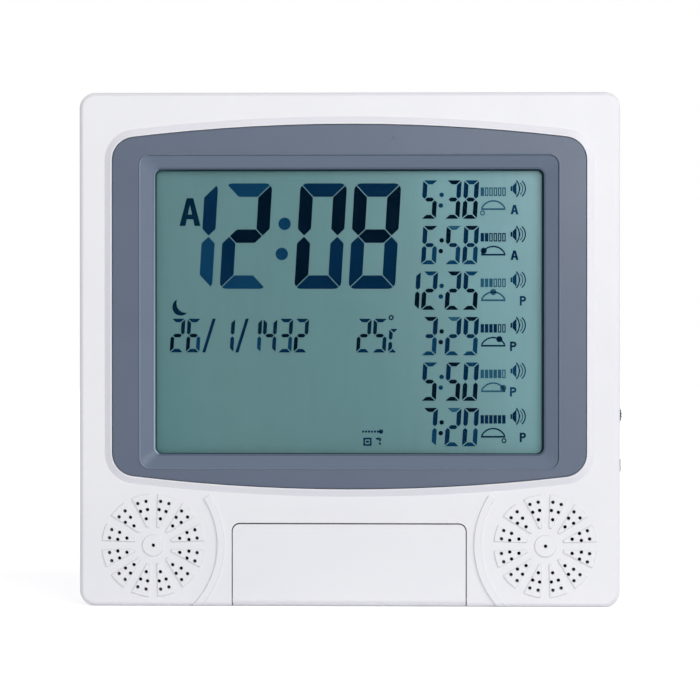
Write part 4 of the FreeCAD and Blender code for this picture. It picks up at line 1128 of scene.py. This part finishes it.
def sun_symbol():
    shapes = [disc(0, 0, 0.75, DOT_STEPS)]
    for turn in range(RAY_COUNT):
        angle = math.radians(360 / RAY_COUNT * turn)
        along_u = math.cos(angle)
        along_v = math.sin(angle)
        side_u = -RAY_HALF * along_v
        side_v = RAY_HALF * along_u
        shapes.append([(RAY_START * along_u - side_u, RAY_START * along_v - side_v),
                       (RAY_END * along_u - side_u, RAY_END * along_v - side_v),
                       (RAY_END * along_u + side_u, RAY_END * along_v + side_v),
                       (RAY_START * along_u + side_u, RAY_START * along_v + side_v)])
    return shapes


def moon_symbol():
    middle_u, middle_v = KEY_MOON_MIDDLE
    return [[(KEY_MOON_SCALE * (u - middle_u), KEY_MOON_SCALE * (v - middle_v))
             for u, v in moon_shape()]]


def key_symbols():
    """A plain symbol for each key: clock, calendar, up, down, bell, sun, moon and bar."""
    clock = ring(0, 0, 1.45, 0.36) + [block(-0.18, -0.1, 0.18, 1.0), block(0.18, -0.1, 0.9, 0.26)]
    calendar = frame_lines(-1.4, -1.3, 1.4, 1.3, 0.34) + [block(-1.06, 0.3, 1.06, 0.64)]
    up = [[(-1.3, -0.9), (1.3, -0.9), (0.0, 1.2)]]
    down = [[(-1.3, 0.9), (0.0, -1.2), (1.3, 0.9)]]
    bell = [arc_points(0, -0.1, 1.05, 0, 180, ARC_STEPS), block(-1.45, -0.75, 1.45, -0.35),
            disc(0, -1.2, 0.34, CLAPPER_STEPS)]
    bar = [block(-1.3, -0.25, 1.3, 0.25)]
    return [clock, calendar, up, down, bell, sun_symbol(), moon_symbol(), bar]


def add_key_symbols():
    material = symbol_print()
    for number, outlines in enumerate(key_symbols(), 1):
        name = f"key_{number}"
        low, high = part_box(name)
        place = ((low.x + high.x) / 2, low.y, (low.z + high.z) / 2)
        tile_mesh(f"{name}_symbol", [("print", points) for points in outlines],
                  {"print": material}, place, name)


# Camera, light and floor

def add_camera():
    data = bpy.data.cameras.new("camera")
    data.sensor_width = SENSOR_WIDTH
    data.lens = FOCAL_PIXELS * SENSOR_WIDTH / IMAGE_PIXELS
    data.clip_end = CAMERA_REACH
    camera = bpy.data.objects.new("camera", data)
    camera.location = CAMERA_PLACE
    camera.rotation_euler = (math.pi / 2 - CAMERA_PITCH, 0.0, CAMERA_YAW)
    bpy.context.scene.collection.objects.link(camera)
    bpy.context.scene.camera = camera


def add_lamp(name, place, size, power, colour):
    data = bpy.data.lights.new(name, "AREA")
    data.shape = "DISK"
    data.size = size
    data.energy = power
    data.color = colour
    lamp = bpy.data.objects.new(name, data)
    lamp.location = place
    aim = Vector(LAMP_AIM) - Vector(place)
    lamp.rotation_euler = aim.to_track_quat("-Z", "Y").to_euler()
    bpy.context.scene.collection.objects.link(lamp)


def seen_directly(nodes, links):
    """1 for camera, glossy and transmission rays."""
    path = nodes.new("ShaderNodeLightPath")
    largest = path.outputs["Is Camera Ray"]
    for name in ("Is Glossy Ray", "Is Transmission Ray"):
        largest = calculated(nodes, links, "MAXIMUM", largest, path.outputs[name])
    return largest


def add_world():
    """A dim even light on the object, seen as plain white by the camera and in reflections."""
    world = bpy.data.worlds.new("studio")
    bpy.context.scene.world = world
    world.use_nodes = True
    nodes = world.node_tree.nodes
    links = world.node_tree.links
    nodes.clear()
    dim = nodes.new("ShaderNodeBackground")
    dim.inputs["Color"].default_value = WORLD_TINT
    dim.inputs["Strength"].default_value = WORLD_LEVEL
    white = nodes.new("ShaderNodeBackground")
    white.inputs["Color"].default_value = WHITE
    white.inputs["Strength"].default_value = 1.0
    mix = nodes.new("ShaderNodeMixShader")
    output = nodes.new("ShaderNodeOutputWorld")
    links.new(seen_directly(nodes, links), mix.inputs["Fac"])
    links.new(dim.outputs["Background"], mix.inputs[1])
    links.new(white.outputs["Background"], mix.inputs[2])
    links.new(mix.outputs["Shader"], output.inputs["Surface"])


def floor_white():
    """Matte white with a glow for direct views and reflections, which hides where it ends."""
    material, nodes, links, shader = new_material("floor_white")
    shader.inputs["Base Color"].default_value = linear(FLOOR_COLOUR)
    shader.inputs["Roughness"].default_value = 0.9
    shader.inputs["Specular IOR Level"].default_value = 0.0
    coords = nodes.new("ShaderNodeTexCoord")
    distance = nodes.new("ShaderNodeVectorMath")
    distance.operation = "LENGTH"
    links.new(coords.outputs["Object"], distance.inputs[0])
    level = remap(nodes, links, distance.outputs["Value"], FLOOR_GLOW_START, FLOOR_GLOW_END,
                  FLOOR_GLOW_NEAR, FLOOR_GLOW_FAR)
    glow = nodes.new("ShaderNodeEmission")
    glow.inputs["Color"].default_value = WHITE
    links.new(calculated(nodes, links, "MULTIPLY", seen_directly(nodes, links), level),
              glow.inputs["Strength"])
    both = nodes.new("ShaderNodeAddShader")
    links.new(shader.outputs["BSDF"], both.inputs[0])
    links.new(glow.outputs["Emission"], both.inputs[1])
    links.new(both.outputs["Shader"], nodes["Material Output"].inputs["Surface"])
    return material


def add_floor():
    """A pale floor that keeps the clock's shadow and is otherwise as white as the backdrop."""
    half = FLOOR_HALF
    mesh = bpy.data.meshes.new("floor")
    mesh.from_pydata([(-half, -half, -FLOOR_DROP), (half, -half, -FLOOR_DROP),
                      (half, half, -FLOOR_DROP), (-half, half, -FLOOR_DROP)], [], [(0, 1, 2, 3)])
    mesh.materials.append(floor_white())
    floor = bpy.data.objects.new("floor", mesh)
    bpy.context.scene.collection.objects.link(floor)


dress_cad_nodes()
add_display(inks())
add_window_edge()
add_key_symbols()
add_floor()
add_world()
add_lamp("key_lamp", KEY_PLACE, KEY_SIZE, KEY_POWER, WARM_LIGHT)
add_lamp("front_lamp", FRONT_PLACE, FRONT_SIZE, FRONT_POWER, PLAIN_LIGHT)
add_lamp("back_lamp", BACK_PLACE, BACK_SIZE, BACK_POWER, PLAIN_LIGHT)
add_camera()
bpy.context.scene.view_settings.view_transform = "Standard"
